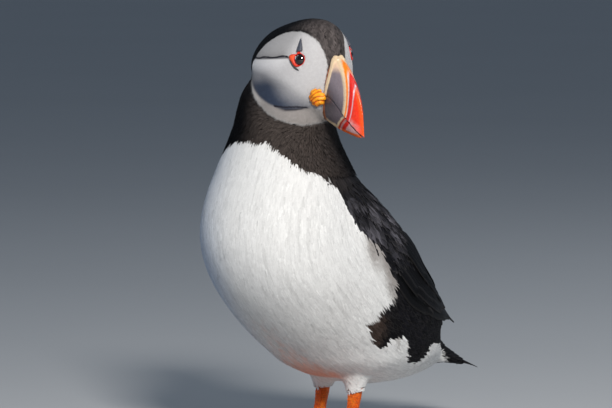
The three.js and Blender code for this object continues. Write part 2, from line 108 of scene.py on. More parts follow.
def joined(parts):
    # one object of several
    deselect()
    for part in parts:
        part.hide_set(False)
        part.select_set(True)
    bpy.context.view_layer.objects.active = parts[0]
    if len(parts) > 1:
        bpy.ops.object.join()
    return bpy.context.view_layer.objects.active


def newObject(name, data):
    obj = bpy.data.objects.new(name, data)
    bpy.context.scene.collection.objects.link(obj)
    return obj


def applyModifier(obj, kind, **settings):
    activate(obj)
    modifier = obj.modifiers.new(kind.lower(), kind)
    for key, value in settings.items():
        setattr(modifier, key, value)
    bpy.ops.object.modifier_apply(modifier=modifier.name)


def remesh(obj, swell, voxel, factor, rounds):
    # one closed surface round all that the object holds
    if swell:
        applyModifier(obj, "DISPLACE", strength=swell / 1000, mid_level=0.0)
    applyModifier(obj, "REMESH", mode="VOXEL", voxel_size=voxel / 1000)
    applyModifier(obj, "SMOOTH", factor=factor, iterations=rounds)


def nodeCopy(names, name):
    # one object from copies of CAD nodes, with their loose triangles merged
    copies = []
    for node in names:
        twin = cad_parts[node].copy()
        twin.data = twin.data.copy()
        bpy.context.scene.collection.objects.link(twin)
        twin.parent = None
        twin.matrix_world.identity()
        copies.append(twin)
    made = joined(copies)
    made.name = made.data.name = name
    made.data.materials.clear()
    bpy.ops.object.mode_set(mode="EDIT")
    bpy.ops.mesh.select_all(action="SELECT")
    bpy.ops.mesh.remove_doubles(threshold=1e-6)
    bpy.ops.object.mode_set(mode="OBJECT")
    return made


def pointsOf(obj):
    flat = np.empty(len(obj.data.vertices) * 3)
    obj.data.vertices.foreach_get("co", flat)
    return flat.reshape(-1, 3)


def normalsOf(obj):
    flat = np.empty(len(obj.data.vertices) * 3)
    obj.data.vertex_normals.foreach_get("vector", flat)
    return flat.reshape(-1, 3)


def setPoints(obj, co):
    obj.data.vertices.foreach_set("co", np.asarray(co, float).ravel())
    obj.data.update()


def push(piece, amount):
    # moves every point out along its normal by so many mm
    setPoints(piece, pointsOf(piece) + normalsOf(piece) * np.asarray(amount)[:, None] / 1000)


def paint(obj, name, values):
    # a colour or a number on every point
    kind = "FLOAT_COLOR" if np.ndim(values) == 2 else "FLOAT"
    layer = obj.data.attributes.new(name, kind, "POINT")
    if kind == "FLOAT":
        layer.data.foreach_set("value", np.asarray(values, float))
    else:
        four = np.ones((len(values), 4))
        four[:, :3] = values
        layer.data.foreach_set("color", four.ravel())


def trianglesOf(obj):
    mesh = obj.data
    mesh.calc_loop_triangles()
    tris = np.empty(len(mesh.loop_triangles) * 3, np.int32)
    mesh.loop_triangles.foreach_get("vertices", tris)
    return tris.reshape(-1, 3)


trunk = {
    # from the neck's top to the tail's root: back y, back z, belly y, belly z, half width
    "sections": [
        [-22, 188, -52, 184, 15], [-18, 172, -61, 170, 23], [-16, 156, -66, 154, 25.5],
        [-10.5, 141.5, -73, 137, 31.6], [-1, 128.5, -81, 118, 37.4], [6.5, 115.5, -84, 98, 40.2],
        [16, 103, -76, 78, 42], [28, 91, -61, 60, 42.5], [39, 79, -41, 43, 42],
        [50, 67, -16, 30, 39.5], [58, 58, 13, 23.5, 31.5], [64, 51, 40, 24, 21], [69, 45, 61, 27, 12],
    ],
}
headFrame = {
    # its middle, its angles in degrees, and the slope of the line where it meets the neck
    "origin": [33.4, -41.2, 172.2], "turn": 75, "pitch": 19.4, "roll": 4, "neckSlope": 0.26,
}


def headAxes():
    turn, pitch, roll = (math.radians(headFrame[key]) for key in ("turn", "pitch", "roll"))
    level = np.array([math.sin(turn), -math.cos(turn), 0.0])
    up = np.array([0, 0, 1.0])
    forward = level * math.cos(pitch) - up * math.sin(pitch)
    crown = up * math.cos(pitch) + level * math.sin(pitch)
    left = np.cross(crown, forward)
    return np.array([
        forward,
        left * math.cos(roll) + crown * math.sin(roll),
        crown * math.cos(roll) - left * math.sin(roll),
    ])


headAxis = headAxes()
headOrigin = np.array(headFrame["origin"])


def toHead(bird):
    return (bird - headOrigin) @ headAxis.T


def fromHead(local):
    return np.asarray(local) @ headAxis + headOrigin


def aboveNeck(x, z):
    # how far above the line where head and neck meet, at x and z of the head's frame
    return z + headFrame["neckSlope"] * x


def trunkSection(s):
    rows = np.array(trunk["sections"], float)
    return np.stack([np.interp(s, np.arange(len(rows)), column) for column in rows.T], -1)


def trunkPlace(bird):
    # how far down the body a point is (0 neck top, 12 tail root) and how far from back to belly (0..1)
    steps = np.linspace(0, len(trunk["sections"]) - 1, 97)
    fine = trunkSection(steps)
    y, z = bird[:, 1:2], bird[:, 2:3]
    ey, ez = fine[:, 2] - fine[:, 0], fine[:, 3] - fine[:, 1]
    side = ey * (z - fine[:, 1]) - ez * (y - fine[:, 0])
    side = side / np.hypot(ey, ez)
    below = side > 0
    crossed = below[:, 1:] != below[:, :-1]
    first = np.argmax(crossed, axis=1)
    rowIndex = np.arange(len(bird))
    a, b = side[rowIndex, first], side[rowIndex, first + 1]
    s = steps[first] + (steps[1] - steps[0]) * np.clip(a / np.where(a == b, 1, a - b), 0, 1)
    beyond = np.where(bird[:, 2] > 150, 0.0, steps[-1])  # past the neck's top or the tail's root
    s = np.where(crossed.any(1), s, beyond)
    at = trunkSection(s)
    ey, ez = at[:, 2] - at[:, 0], at[:, 3] - at[:, 1]
    t = ((bird[:, 1] - at[:, 0]) * ey + (bird[:, 2] - at[:, 1]) * ez) / (ey ** 2 + ez ** 2)
    return s, t


def trunkLie(s, t):
    # which way the contour feathers run at such a place, in the middle plane
    end, reach = len(trunk["sections"]) - 1, 0.6
    run = trunkSection(np.clip(s + reach, 0, end)) - trunkSection(np.clip(s - reach, 0, end))
    t = np.clip(t, 0, 1)[:, None]
    flat = run[:, :2] * (1 - t) + run[:, 2:4] * t
    return unit(np.stack([np.zeros(len(s)), flat[:, 0], flat[:, 1]], -1))


print("frame read")


view = {
    # angles in degrees; across and up say where the camera looks, in its own plane
    "azimuth": 42, "elevation": 4, "distance": 3000, "across": -16.5, "up": 114,
    "lens": 352.9, "sensor": 36,
}
lights = {
    "key": {"from": [0.70, -0.54, 0.50], "distance": 1.5, "size": 0.26, "power": 23.5, "color": (1.0, 0.965, 0.92)},
    "fill": {"from": [-0.95, -0.9, 0.35], "distance": 1.6, "size": 1.2, "power": 2.2, "color": (0.60, 0.78, 1.0)},
    "rim": {"from": [0.3, 1.0, 0.8], "distance": 1.7, "size": 0.8, "power": 5, "color": (0.9, 0.95, 1.0)},
}
sky = {"color": (0.62, 0.78, 1.0, 1), "power": 0.17}
floorPlan = {"radius": 16, "paper": (0.52, 0.53, 0.54, 1), "grain": (0.49, 0.50, 0.51)}  # the radius in metres


def viewAxes():
    az, el = math.radians(view["azimuth"]), math.radians(view["elevation"])
    right = np.array([math.cos(az), math.sin(az), 0])
    up = np.array([-math.sin(az) * math.sin(el), math.cos(az) * math.sin(el), math.cos(el)])
    return right, up, np.cross(right, up)


def makeCamera():
    right, up, back = viewAxes()
    spot = toScene(right * view["across"] + up * view["up"] + back * view["distance"])
    data = bpy.data.cameras.new("camera")
    data.lens, data.sensor_width = view["lens"], view["sensor"]
    data.clip_end = 100
    camera = newObject("camera", data)
    axes = np.eye(4)
    axes[:3, 0], axes[:3, 1], axes[:3, 2], axes[:3, 3] = right, up, back, spot
    camera.matrix_world = Matrix(axes.tolist())
    bpy.context.scene.camera = camera


def makeLights():
    aim = Vector(toScene(np.array([0, -20, 110])))  # the breast
    for name, plan in lights.items():
        data = bpy.data.lights.new(name, "AREA")
        data.energy, data.size, data.color = plan["power"], plan["size"], plan["color"]
        lamp = newObject(name, data)
        lamp.location = aim + Vector(plan["from"]).normalized() * plan["distance"]
        lamp.rotation_euler = (aim - lamp.location).to_track_quat("-Z", "Y").to_euler()
    world = bpy.data.worlds.new("studio")
    world.use_nodes = True
    world.node_tree.nodes["Background"].inputs["Color"].default_value = sky["color"]
    world.node_tree.nodes["Background"].inputs["Strength"].default_value = sky["power"]
    bpy.context.scene.world = world
    bpy.context.scene.view_settings.view_transform = "Standard"


class Wire:
    # a socket that stands in Python sums
    def __init__(self, tree, socket):
        self.tree, self.socket = tree, socket

    def node(self, kind, settings=None, inputs=None, out=0):
        made = self.tree.nodes.new(kind)
        for key, value in (settings or {}).items():
            setattr(made, key, value)
        for key, value in (inputs or {}).items():
            if isinstance(value, Wire):
                self.tree.links.new(value.socket, made.inputs[key])
            else:
                made.inputs[key].default_value = value
        return Wire(self.tree, made.outputs[out])

    def math(self, operation, *others):
        return self.node("ShaderNodeMath", {"operation": operation}, dict(enumerate((self, *others))))

    def __add__(self, other):
        return self.math("ADD", other)

    __radd__ = __add__

    def __mul__(self, other):
        return self.math("MULTIPLY", other)

    __rmul__ = __mul__

    def __sub__(self, other):
        return self.math("SUBTRACT", other)

    def __rsub__(self, other):
        return self.node("ShaderNodeMath", {"operation": "SUBTRACT"}, {0: other, 1: self})

    def blend(self, other, share, how="MIX"):
        # this colour, with another over it by a share
        settings = {"data_type": "RGBA", "blend_type": how}
        color = other if isinstance(other, Wire) else (*other, 1)
        return self.node("ShaderNodeMix", settings, {0: share, 6: self, 7: color}, out=2)

    def between(self, low, high):
        # 0 below low, 1 above high
        return self.node("ShaderNodeMapRange", {"interpolation_type": "SMOOTHSTEP"}, {0: self, 1: low, 2: high})


def finish(name, **fixed):
    # a new material: its tree as a Wire, its shader, and its values
    material = bpy.data.materials.new(name)
    material.use_nodes = True
    tree = material.node_tree
    shader = tree.nodes["Principled BSDF"]
    for key, value in fixed.items():
        shader.inputs[key.replace("_", " ")].default_value = value
    return material, Wire(tree, shader.outputs[0]), shader


def feed(shader, key, wire):
    wire.tree.links.new(wire.socket, shader.inputs[key])


def feedBump(shader, height, strength, distance):
    # distance in metres
    feed(shader, "Normal", height.node("ShaderNodeBump", inputs={
        "Strength": strength, "Distance": distance, "Height": height}))


def painted(name, **fixed):
    # a new material that starts from the painted tint, and the place that its patterns read
    material, root, shader = finish(name, **fixed)
    tint = root.node("ShaderNodeVertexColor", {"layer_name": "tint"})
    return material, shader, tint, root.node("ShaderNodeTexCoord", out="Object")


def noise(place, scale, detail):
    return place.node("ShaderNodeTexNoise", inputs={"Vector": place, "Scale": scale, "Detail": detail})


def makeFloor():
    bpy.ops.mesh.primitive_circle_add(vertices=96, radius=floorPlan["radius"], fill_type="NGON", location=(0, 0, 0))
    floor = bpy.context.active_object
    floor.name = floor.data.name = "studioFloor"
    material, root, shader = finish("floorPaper", Roughness=0.85)
    paper = root.node("ShaderNodeRGB")
    paper.socket.default_value = floorPlan["paper"]
    grain = noise(root.node("ShaderNodeTexCoord", out="Object"), 3.0, 2.0)
    feed(shader, "Base Color", paper.blend(floorPlan["grain"], grain))
    floor.data.materials.append(material)


deselect()
makeCamera()
makeLights()
makeFloor()
print("studio made")

tones = {
    # of the plumage, the same on skin and coat; some are painted light and shade, as said where they are laid on
    "white": [0.80, 0.80, 0.79], "coolShade": [0.25, 0.37, 0.60], "grey": [0.42, 0.41, 0.40],
    "cheek": [0.60, 0.585, 0.59], "cheekShade": [0.022, 0.033, 0.060], "throat": [0.27, 0.25, 0.24],
    "black": [0.004, 0.004, 0.005], "collar": [0.052, 0.042, 0.038], "crown": [0.088, 0.075, 0.073],
    "mantle": [0.005, 0.005, 0.007], "shoulder": [0.13, 0.125, 0.145], "flank": [0.050, 0.034, 0.027],
    "warmBounce": [0.80, 0.36, 0.24], "crease": [0.016, 0.016, 0.024], "throatRear": [0.46, 0.43, 0.41],
    "fringe": [0.16, 0.13, 0.115],
}
lines = {
    # half width of the dark crown at each x of the head's frame
    "crownHalf": [[-46, 25], [-43, 21.3], [-40, 18.3], [-35.6, 15.8], [-30, 13.5], [-23.4, 11.7], [-17.4, 10.2],
                  [-11.4, 8.7], [-6.6, 6.9], [-3.2, 5.8], [0, 5.1]],
    # height of the black collar's lower edge, round the body from the breast's middle, in degrees
    "collar": [[0, 147.7], [13.5, 146.5], [21.9, 144.7], [27.4, 141.5], [32.5, 137.7], [40, 134.4],
               [47.7, 132.8], [53, 129.9], [59, 126.8], [66.4, 120], [70.8, 114.1], [79, 106.3],
               [90, 98.3], [100.8, 92.2], [105.5, 86.2], [110, 79.3]],
    # height of the dark sides' lower edge along the body
    "side": [[-8.6, 79], [-4, 62], [4, 49], [6, 49], [9, 42], [14, 36.5], [23, 34.5], [30, 37], [34, 43],
             [45, 42], [58, 38], [66, 33], [75, 28], [95, 20]],
    # lower edge of the brown flank patch
    "flank": [[-26, 62], [-19.5, 53.7], [-14.2, 46.6], [-4.8, 43.5], [-3.5, 47.5], [5, 48.5], [7, 60]],
    "flankTop": [[-27, 57], [-23.6, 60], [-17, 62], [-15.5, 66], [-10, 69], [-6.5, 72], [-5, 80], [0, 90]],
    "eyeCrease": [[-44, 2.8], [-42.1, 3.8], [-17.1, 13.8]],
    "cheekCrease": [[-42, -4.6], [-39.4, -5.7], [-30.2, -7.5], [-23.8, -8.6], [-16.3, -9.7], [-9, -10.3],
                    [-6.6, -9.6], [-5.4, -8.4]],
    "collarTop": [[-60, -0.2], [-34, -7.4], [-22, -11.5], [-12, -14.2], [0, -16.6]],
    # where the painted warm bounce light on the shaded lower belly begins along the body
    "warmBounce": [[-62, 62], [-58, 59.5], [-50, 52.5], [-42, 46.5], [-33, 41], [-21, 35.5], [-10, 33]],
    "nape": -43.6,  # behind this the crown's dark covers the whole head
}
spans = {
    # from where to where a shade comes in or fades; names in Head are along the head's axes
    "coolSide": [12, 44], "coolHeight": [72, 118], "greyHeight": [52, 100], "greyDepth": [-40, 0],
    "neckFront": [30, 58], "neckHeight": [120, 135], "neckShadeSide": [-9, 8],
    "shoulderFoot": [86, 106], "shoulderTop": [110, 127], "shoulderDepth": [-8, 14],
    "flankFront": [-27, -24], "flankRear": [7, 9], "flankSide": [22, 27],
    "flankBrown": [-17, -7], "flankBrownTop": [60, 66], "fringeAngle": [82, 92],
    "warmBounceDepth": [-15, -7], "warmBounceSide": [12, 23],
    "eyeFoldHead": [-18, -16], "cheekFoldHead": [-5.5, -4], "cheekFoldRiseHead": [-15, -8],
    "crownLightHead": [-34, -14], "crownFrontHead": [-18, -10], "rearFaceHead": [-23, -15],
    "rearThroatHead": [-27, -17],
}
strengths = {
    "coolShade": 0.4, "coolShadeBelow": 0.45, "grey": 0.42, "streaks": 0.13, "warmBounce": 0.88, "fringe": 0.75,
    "shoulder": 0.7, "crease": 0.95, "shadeOverFold": 0.28, "shadeAtFold": 0.4, "highlightUnderFold": 0.3,
}


def rough(points, size, seed, layers=3):
    # smooth random values, -1 to 1, that change over about size mm
    value = np.zeros(len(points))
    weight = 1.0
    for layer in range(layers):
        turn = np.random.default_rng(seed + layer)
        for _ in range(5):
            axis = unit(turn.normal(size=3))
            waves = 2 * math.pi / size
            value += weight * np.sin(points @ axis * waves * turn.uniform(0.7, 1.3) + turn.uniform(0, 6.3))
        size, weight = size * 0.5, weight * 0.6
    return value / 4.5


def streaks(bird, run, size, seed):
    # lines of shade that run the way the feathers lie, about -1 to 1; a smaller run makes them longer
    s, t = trunkPlace(bird)
    return rough(np.stack([bird[:, 0], 62 * t, run * s], -1), size, seed)


def regions(bird):
    # where each marking is, 0 to 1, at points in the bird's frame
    x, y, z = toHead(bird).T
    aside, depth, height = np.abs(bird[:, 0]), bird[:, 1], bird[:, 2]
    near = 0.35 * rough(bird, 5, 7)  # what roughens the edges
    crown = smoothStep(through(lines["crownHalf"], x) - np.abs(y) + 0.4 * near, -0.3, 0.4) * (z > 2)
    crown = np.maximum(crown, smoothStep(lines["nape"] - x + 0.4 * near, -0.3, 0.4))
    face = smoothStep(z - through(lines["collarTop"], x) + 0.7 * near, -0.4, 0.5) * (1 - crown)
    throat = face * smoothStep(through(lines["cheekCrease"], x) - z, -0.5, 0.6)
    eyeFold = bump(z, through(lines["eyeCrease"], x), 0.42) * fade(x, *spans["eyeFoldHead"]) * (np.abs(y) > 8)
    cheekFold = bump(z, through(lines["cheekCrease"], x), 0.6) * fade(x, *spans["cheekFoldHead"])
    cheekFold = cheekFold * smoothStep(x, *spans["cheekFoldRiseHead"])
    angle = np.degrees(np.arctan2(aside, -(depth + 25)))  # round the body, 0 at the breast's middle
    edge = np.where(depth < lines["side"][0][0], through(lines["collar"], angle), through(lines["side"], depth))
    dark = smoothStep(height - edge + 3.2 * near, -0.8, 0.8)
    flank = smoothStep(height - through(lines["flank"], depth) + 3 * near, -1, 1.4)
    flank = flank * smoothStep(depth, *spans["flankFront"])
    flank = flank * smoothStep(through(lines["flankTop"], depth) - height + 3 * near, -1, 1)
    flank = flank * fade(depth, *spans["flankRear"]) * smoothStep(aside, *spans["flankSide"])
    fringe = smoothStep(height - edge + 4 * near, -13, 0) * smoothStep(angle, *spans["fringeAngle"]) * (depth < 2)
    warmBounce = smoothStep(through(lines["warmBounce"], depth) - height + 3 * near, -2.5, 2.5)
    warmBounce = warmBounce * fade(depth, *spans["warmBounceDepth"]) * fade(np.abs(bird[:, 0] + 3), *spans["warmBounceSide"])
    return {"crown": crown, "face": face, "throat": throat, "crease": face * np.maximum(eyeFold, cheekFold),
            "dark": np.maximum(dark, flank) * (1 - face), "brown": flank * (1 - dark), "fringe": fringe,
            "warmBounce": warmBounce, "x": x, "y": y, "z": z}


def markings(bird, pale=False):
    # the colour of the plumage at points in the bird's frame, with some painted light and shade; pale leaves out the
    # dark upper side
    where = regions(bird)
    if pale:
        where["dark"] = where["brown"] = np.zeros(len(bird))
    tone = arrays(tones)
    x, y, z = where["x"], where["y"], where["z"]
    side, depth, height = bird.T

    # white underside, with painted bluish shade on the bird's right, deeper low down, and grey low down
    coolShade = smoothStep(-side - depth * 0.2, *spans["coolSide"])
    coolShade = coolShade * fade(height, *spans["coolHeight"]) * strengths["coolShadeBelow"] + coolShade * strengths["coolShade"]
    low = fade(height, *spans["greyHeight"]) * fade(depth, *spans["greyDepth"])
    color = layered(tone, "white", ("coolShade", coolShade), ("grey", strengths["grey"] * low))
    color = color * (1 - strengths["streaks"] * smoothStep(streaks(bird, 1.8, 2.6, 71), 0.0, 1.0))[:, None]
    # painted warm bounce light on the shaded lower belly
    color = mixRows(color, tone["warmBounce"], strengths["warmBounce"] * where["warmBounce"])
    # brown-grey towards the side's dark edge: partly the flank feathers' own brown, partly painted shade where the
    # breast turns away
    color = mixRows(color, tone["fringe"], strengths["fringe"] * where["fringe"])

    # dark upper side: mantle, shoulder, neck, flank and crown
    front = smoothStep(-depth + 0.3 * side, *spans["neckFront"]) * smoothStep(height, *spans["neckHeight"])
    # grey streaks on the shoulder: painted sheen
    shoulder = smoothStep(streaks(bird, 5, 5.5, 91), -0.5, 1.0) * smoothStep(height, *spans["shoulderFoot"])
    shoulder = shoulder * fade(height, *spans["shoulderTop"]) * fade(depth, *spans["shoulderDepth"])
    # the neck's front takes the brown-grey collar, with black over its part on the bird's right side as painted shade
    upper = layered(tone, "mantle", ("shoulder", strengths["shoulder"] * shoulder), ("collar", front),
                    ("black", fade(side, *spans["neckShadeSide"]) * front))
    brown = fade(depth, *spans["flankBrown"]) * fade(height, *spans["flankBrownTop"])
    upper = mixRows(upper, layered(tone, "black", ("flank", brown)), where["brown"])
    # grey-brown over the crown's front: partly the grey feathers by the bill, partly painted sheen
    border = smoothStep(through(lines["crownHalf"], x) - np.abs(y), 0.3, 2.2)
    crownLight = smoothStep(x, *spans["crownLightHead"]) * mix(border, 1, smoothStep(x, *spans["crownFrontHead"]))
    crownLight = crownLight * (0.85 + 0.3 * rough(bird, 4, 93))
    onHead = smoothStep(aboveNeck(x, z), -16, -10)
    upper = mixRows(upper, layered(tone, "black", ("crown", crownLight)), onHead)
    color = mixRows(color, upper, where["dark"])

    # face: the lower cheek's own darker grey deepened by painted shade, a band of painted shade over the eye's fold
    # and a painted highlight under it
    over = z - through(lines["eyeCrease"], x)
    shade = smoothStep(-z - 0.46 * (x + 10), -3, 10.5) * smoothStep(-over, 1, 15)
    cheek = layered(tone, "cheek", ("cheekShade", shade))
    rear = fade(x, *spans["rearFaceHead"])
    band = strengths["shadeOverFold"] + strengths["shadeAtFold"] * np.exp(-np.abs(over) / 2.2)
    cheek = cheek * (1 - rear * (over > 0) * band)[:, None]
    cheek = cheek * (1 + strengths["highlightUnderFold"] * rear * (over <= 0) * smoothStep(over, -9, -2))[:, None]
    # the throat darker towards the bill: its own grey-brown deepened by painted shade under the bill
    throat = layered(tone, "throat", ("throatRear", fade(x, *spans["rearThroatHead"])))
    color = mixRows(color, mixRows(cheek, throat, where["throat"]), where["face"])
    # dark lines along the face's folds: their own dark with painted shade of the folds
    return mixRows(color, tone["crease"], strengths["crease"] * where["crease"])

skinPlan = {
    # voxels, the coat's depth that is taken off (face to wing), and the heights where it changes
    "voxel": 1.15, "legVoxel": 0.5, "swell": 0.4, "legSwell": 0.12, "smoothing": 10, "wingCut": 47, "tailCut": 80,
    "face": 0.45, "crown": 0.75, "neck": 2.0, "body": 2.7, "wing": 2.3, "thighShare": 0.36,
    "neckHeight": [128, 145], "thighHeight": [26, 44], "shankHeight": [20.5, 24], "headEdge": [-19, -13],
    "eyeSunk": 0.6, "well": {"depth": 1.7, "edge": [2.5, 3.1], "reach": 6},
    "bodyFoot": [36, 46], "bodyTop": [126, 138], "bodyRounds": 60, "normalRounds": 24,
}


def trimBehind(obj, y):
    # cuts off what lies behind y and closes the cut
    activate(obj)
    bpy.ops.object.mode_set(mode="EDIT")
    bpy.ops.mesh.select_all(action="SELECT")
    spot = toScene(np.array([0, y, 0]))
    bpy.ops.mesh.bisect(plane_co=tuple(spot), plane_no=(0, 1, 0), use_fill=True, clear_outer=True)
    bpy.ops.object.mode_set(mode="OBJECT")


def treeOf(names):
    solid = nodeCopy(names, "probe")
    tree = BVHTree.FromPolygons(toBird(pointsOf(solid)).tolist(), trianglesOf(solid).tolist())
    bpy.data.objects.remove(solid)
    return tree


wingTree = treeOf(["wing_left", "wing_right"])
trunkTree = treeOf(["trunk", "neck"])


def gaps(tree, bird):
    return np.array([tree.find_nearest(p)[3] for p in bird.tolist()])


def wingShare(bird):
    # 1 on the folded wings, 0 on the body
    return smoothStep(gaps(trunkTree, bird) - gaps(wingTree, bird), -0.6, 0.6)


def nodeFrame(name, side):
    # the middle of a flat round node and its axes: ahead, up and out of the face
    points = toBird(pointsOf(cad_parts[name]))
    middle = points.mean(0)
    spread = np.linalg.svd(points - middle, full_matrices=False)[2]
    out = spread[2] * np.sign(np.dot(spread[2], headAxis[1]) * side)
    ahead = unit(headAxis[0] - out * np.dot(headAxis[0], out))
    return middle - out * skinPlan["eyeSunk"], ahead, np.cross(ahead, out) * side, out


def coatDepth(bird):
    where = regions(bird)
    height = bird[:, 2]
    depth = mix(skinPlan["body"], skinPlan["wing"], wingShare(bird))
    depth = mix(depth, skinPlan["neck"], smoothStep(height, *skinPlan["neckHeight"]))
    depth = depth * mix(skinPlan["thighShare"], 1, smoothStep(height, *skinPlan["thighHeight"]))
    onHead = smoothStep(aboveNeck(where["x"], where["z"]), *skinPlan["headEdge"])
    depth = mix(depth, mix(skinPlan["face"], skinPlan["crown"], where["crown"]), onHead)
    byBill = (where["x"] > -6) & (onHead > 0.5)
    depth = np.where(byBill, np.minimum(depth, skinPlan["crown"]), depth)
    well = skinPlan["well"]  # the skin sinks inside the eye rings
    for word, side in (("left", 1), ("right", -1)):
        middle, _, _, out = nodeFrame("eye_ring_" + word, side)
        away = bird - middle
        aside = np.linalg.norm(away - (away @ out)[:, None] * out, axis=1)
        depth = depth + well["depth"] * fade(aside, *well["edge"]) * (np.abs(away @ out) < well["reach"])
    return depth * smoothStep(height, *skinPlan["shankHeight"])


def onBody(bird):
    # 1 between the legs and the neck
    return smoothStep(bird[:, 2], *skinPlan["bodyFoot"]) * fade(bird[:, 2], *skinPlan["bodyTop"])


def averaged(obj, values, share, rounds):
    # each vertex's value drawn towards its neighbours' mean, as much as share says
    ends = np.empty(len(obj.data.edges) * 2, dtype=np.int32)
    obj.data.edges.foreach_get("vertices", ends)
    first, second = ends.reshape(-1, 2).T
    count = np.bincount(ends, minlength=len(values))[:, None]
    for _ in range(rounds):
        total = np.stack([np.bincount(first, values[second, k], len(values))
                          + np.bincount(second, values[first, k], len(values)) for k in range(3)], -1)
        values = values + (total / np.maximum(count, 1) - values) * share[:, None]
    return values


def makeSkin():
    wings = nodeCopy(["wing_left", "wing_right"], "wings")
    trimBehind(wings, skinPlan["wingCut"])
    tail = nodeCopy(["tail"], "tailRoot")
    trimBehind(tail, skinPlan["tailCut"])
    # the eyes go in too, so that no hollow is left round them
    flesh = nodeCopy(["trunk", "neck", "head", "eye_left", "eye_right", "thigh_left", "thigh_right"], "skin")
    skin = joined([flesh, wings, tail])
    remesh(skin, skinPlan["swell"], skinPlan["voxel"], 0.6, skinPlan["smoothing"])
    bird = toBird(pointsOf(skin))
    share = onBody(bird) * (1 - wingShare(bird))
    setPoints(skin, averaged(skin, pointsOf(skin), share, skinPlan["bodyRounds"]))
    push(skin, -coatDepth(toBird(pointsOf(skin))) - skinPlan["swell"])
    applyModifier(skin, "SMOOTH", factor=0.5, iterations=4)
    legs = nodeCopy(["shank_left", "foot_left", "shank_right", "foot_right"], "legs")
    remesh(legs, skinPlan["legSwell"], skinPlan["legVoxel"], 0.5, 3)
    low = pointsOf(legs)
    low[:, 2] = np.maximum(low[:, 2], 0)
    setPoints(legs, low)
    applyModifier(skin, "BOOLEAN", operation="UNION", solver="MANIFOLD", object=legs)
    bpy.data.objects.remove(legs)
    skin.name = skin.data.name = "skin"
    bpy.ops.object.shade_smooth()
    skin.data.materials.clear()
    return skin


skin = makeSkin()
skinPoints = toBird(pointsOf(skin))
skinNormals = normalsOf(skin)
skinNormals = unit(averaged(skin, skinNormals, onBody(skinPoints), skinPlan["normalRounds"]))
skinFaces = trianglesOf(skin)
skinTree = BVHTree.FromPolygons(skinPoints.tolist(), skinFaces.tolist())
print("skin made:", len(skinFaces), "triangles")

billPlan = {
    # sizes in the head's frame, mm: x ahead of the mouth's corner, z above it
    "mouth": [[1, 0], [5, -1.1], [9, -2.4], [13, -3.9], [17, -5.6], [23, -8], [27, -10.5]],
    "close": 0.72, "arch": 1.7, "voxel": 0.34, "arcCentre": [-6, -3], "grooves": [[24.95, 0.30, 0.30], [27.5, 0.28, 0.26]],
    "lowerGrooves": [[18.15, 0.42, 0.30]], "ridge": 0.45,
    "baseLine": [[-16, -0.4], [-8, 0.6], [4, 0.7], [9, 0.7], [13, 0.3], [17, -1.2], [22, -3.2]],
    "ridgeWidth": [[-2, 1.7], [2, 2.0], [8, 2.2], [13, 2.3], [17, 2.9], [20, 5]],
}
billTones = {
    "rim": [0.45, 0.12, 0.03], "cream": [0.80, 0.60, 0.38], "peach": [0.84, 0.58, 0.40],
    "slate": [0.060, 0.048, 0.062], "slateLight": [0.25, 0.20, 0.22], "orange": [0.95, 0.22, 0.0],
    "paleGrooveShade": [0.60, 0.68, 0.76],
    "red": [0.72, 0.008, 0.0], "tip": [0.93, 0.030, 0.002], "pale": [0.72, 0.42, 0.42],
    "mouth": [0.04, 0.004, 0.004], "band": [0.50, 0.025, 0.003], "lowEdge": [0.95, 0.13, 0.005],
}


def detailCopy(names, name, voxel, smooth, swell=0.0):
    # a finer closed copy of CAD nodes, for shaping
    piece = nodeCopy(names, name)
    remesh(piece, swell, voxel, 0.5, smooth)
    activate(piece)
    bpy.ops.object.shade_smooth()
    return piece


def settle(piece, nodes, material):
    piece.data.materials.clear()
    piece.data.materials.append(material)
    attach(piece, "root")
    if nodes:
        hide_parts(*nodes)


def bendMouth(piece, upper):
    # arches the mouth's line and brings the two halves of the bill together
    local = toHead(toBird(pointsOf(piece)))
    x, z = local[:, 0], local[:, 2]
    line = through(billPlan["mouth"], x)
    if not upper:
        below = edgeGap(x, z, -1)
        z = z + billPlan["close"] * smoothStep(3.0 - below, 0, 3.0) * smoothStep(x, -2, 1)
    arch = billPlan["arch"] * bump(x, 8.5, 7.5) * bump(z, line, 5.0)
    setPoints(piece, toScene(fromHead(np.stack([x, local[:, 1], z + arch], -1))))


def edgeGap(x, z, way):
    # how far each point is above the lowest of its slice (way 1), or below the highest (way -1)
    bins = np.linspace(x.min(), x.max(), 30)
    slot = np.clip(np.digitize(x, bins) - 1, 0, 28)
    ends = np.array([(way * z[slot == k]).min() for k in range(29)])
    return way * z - np.interp(x, (bins[:-1] + bins[1:]) / 2, ends)


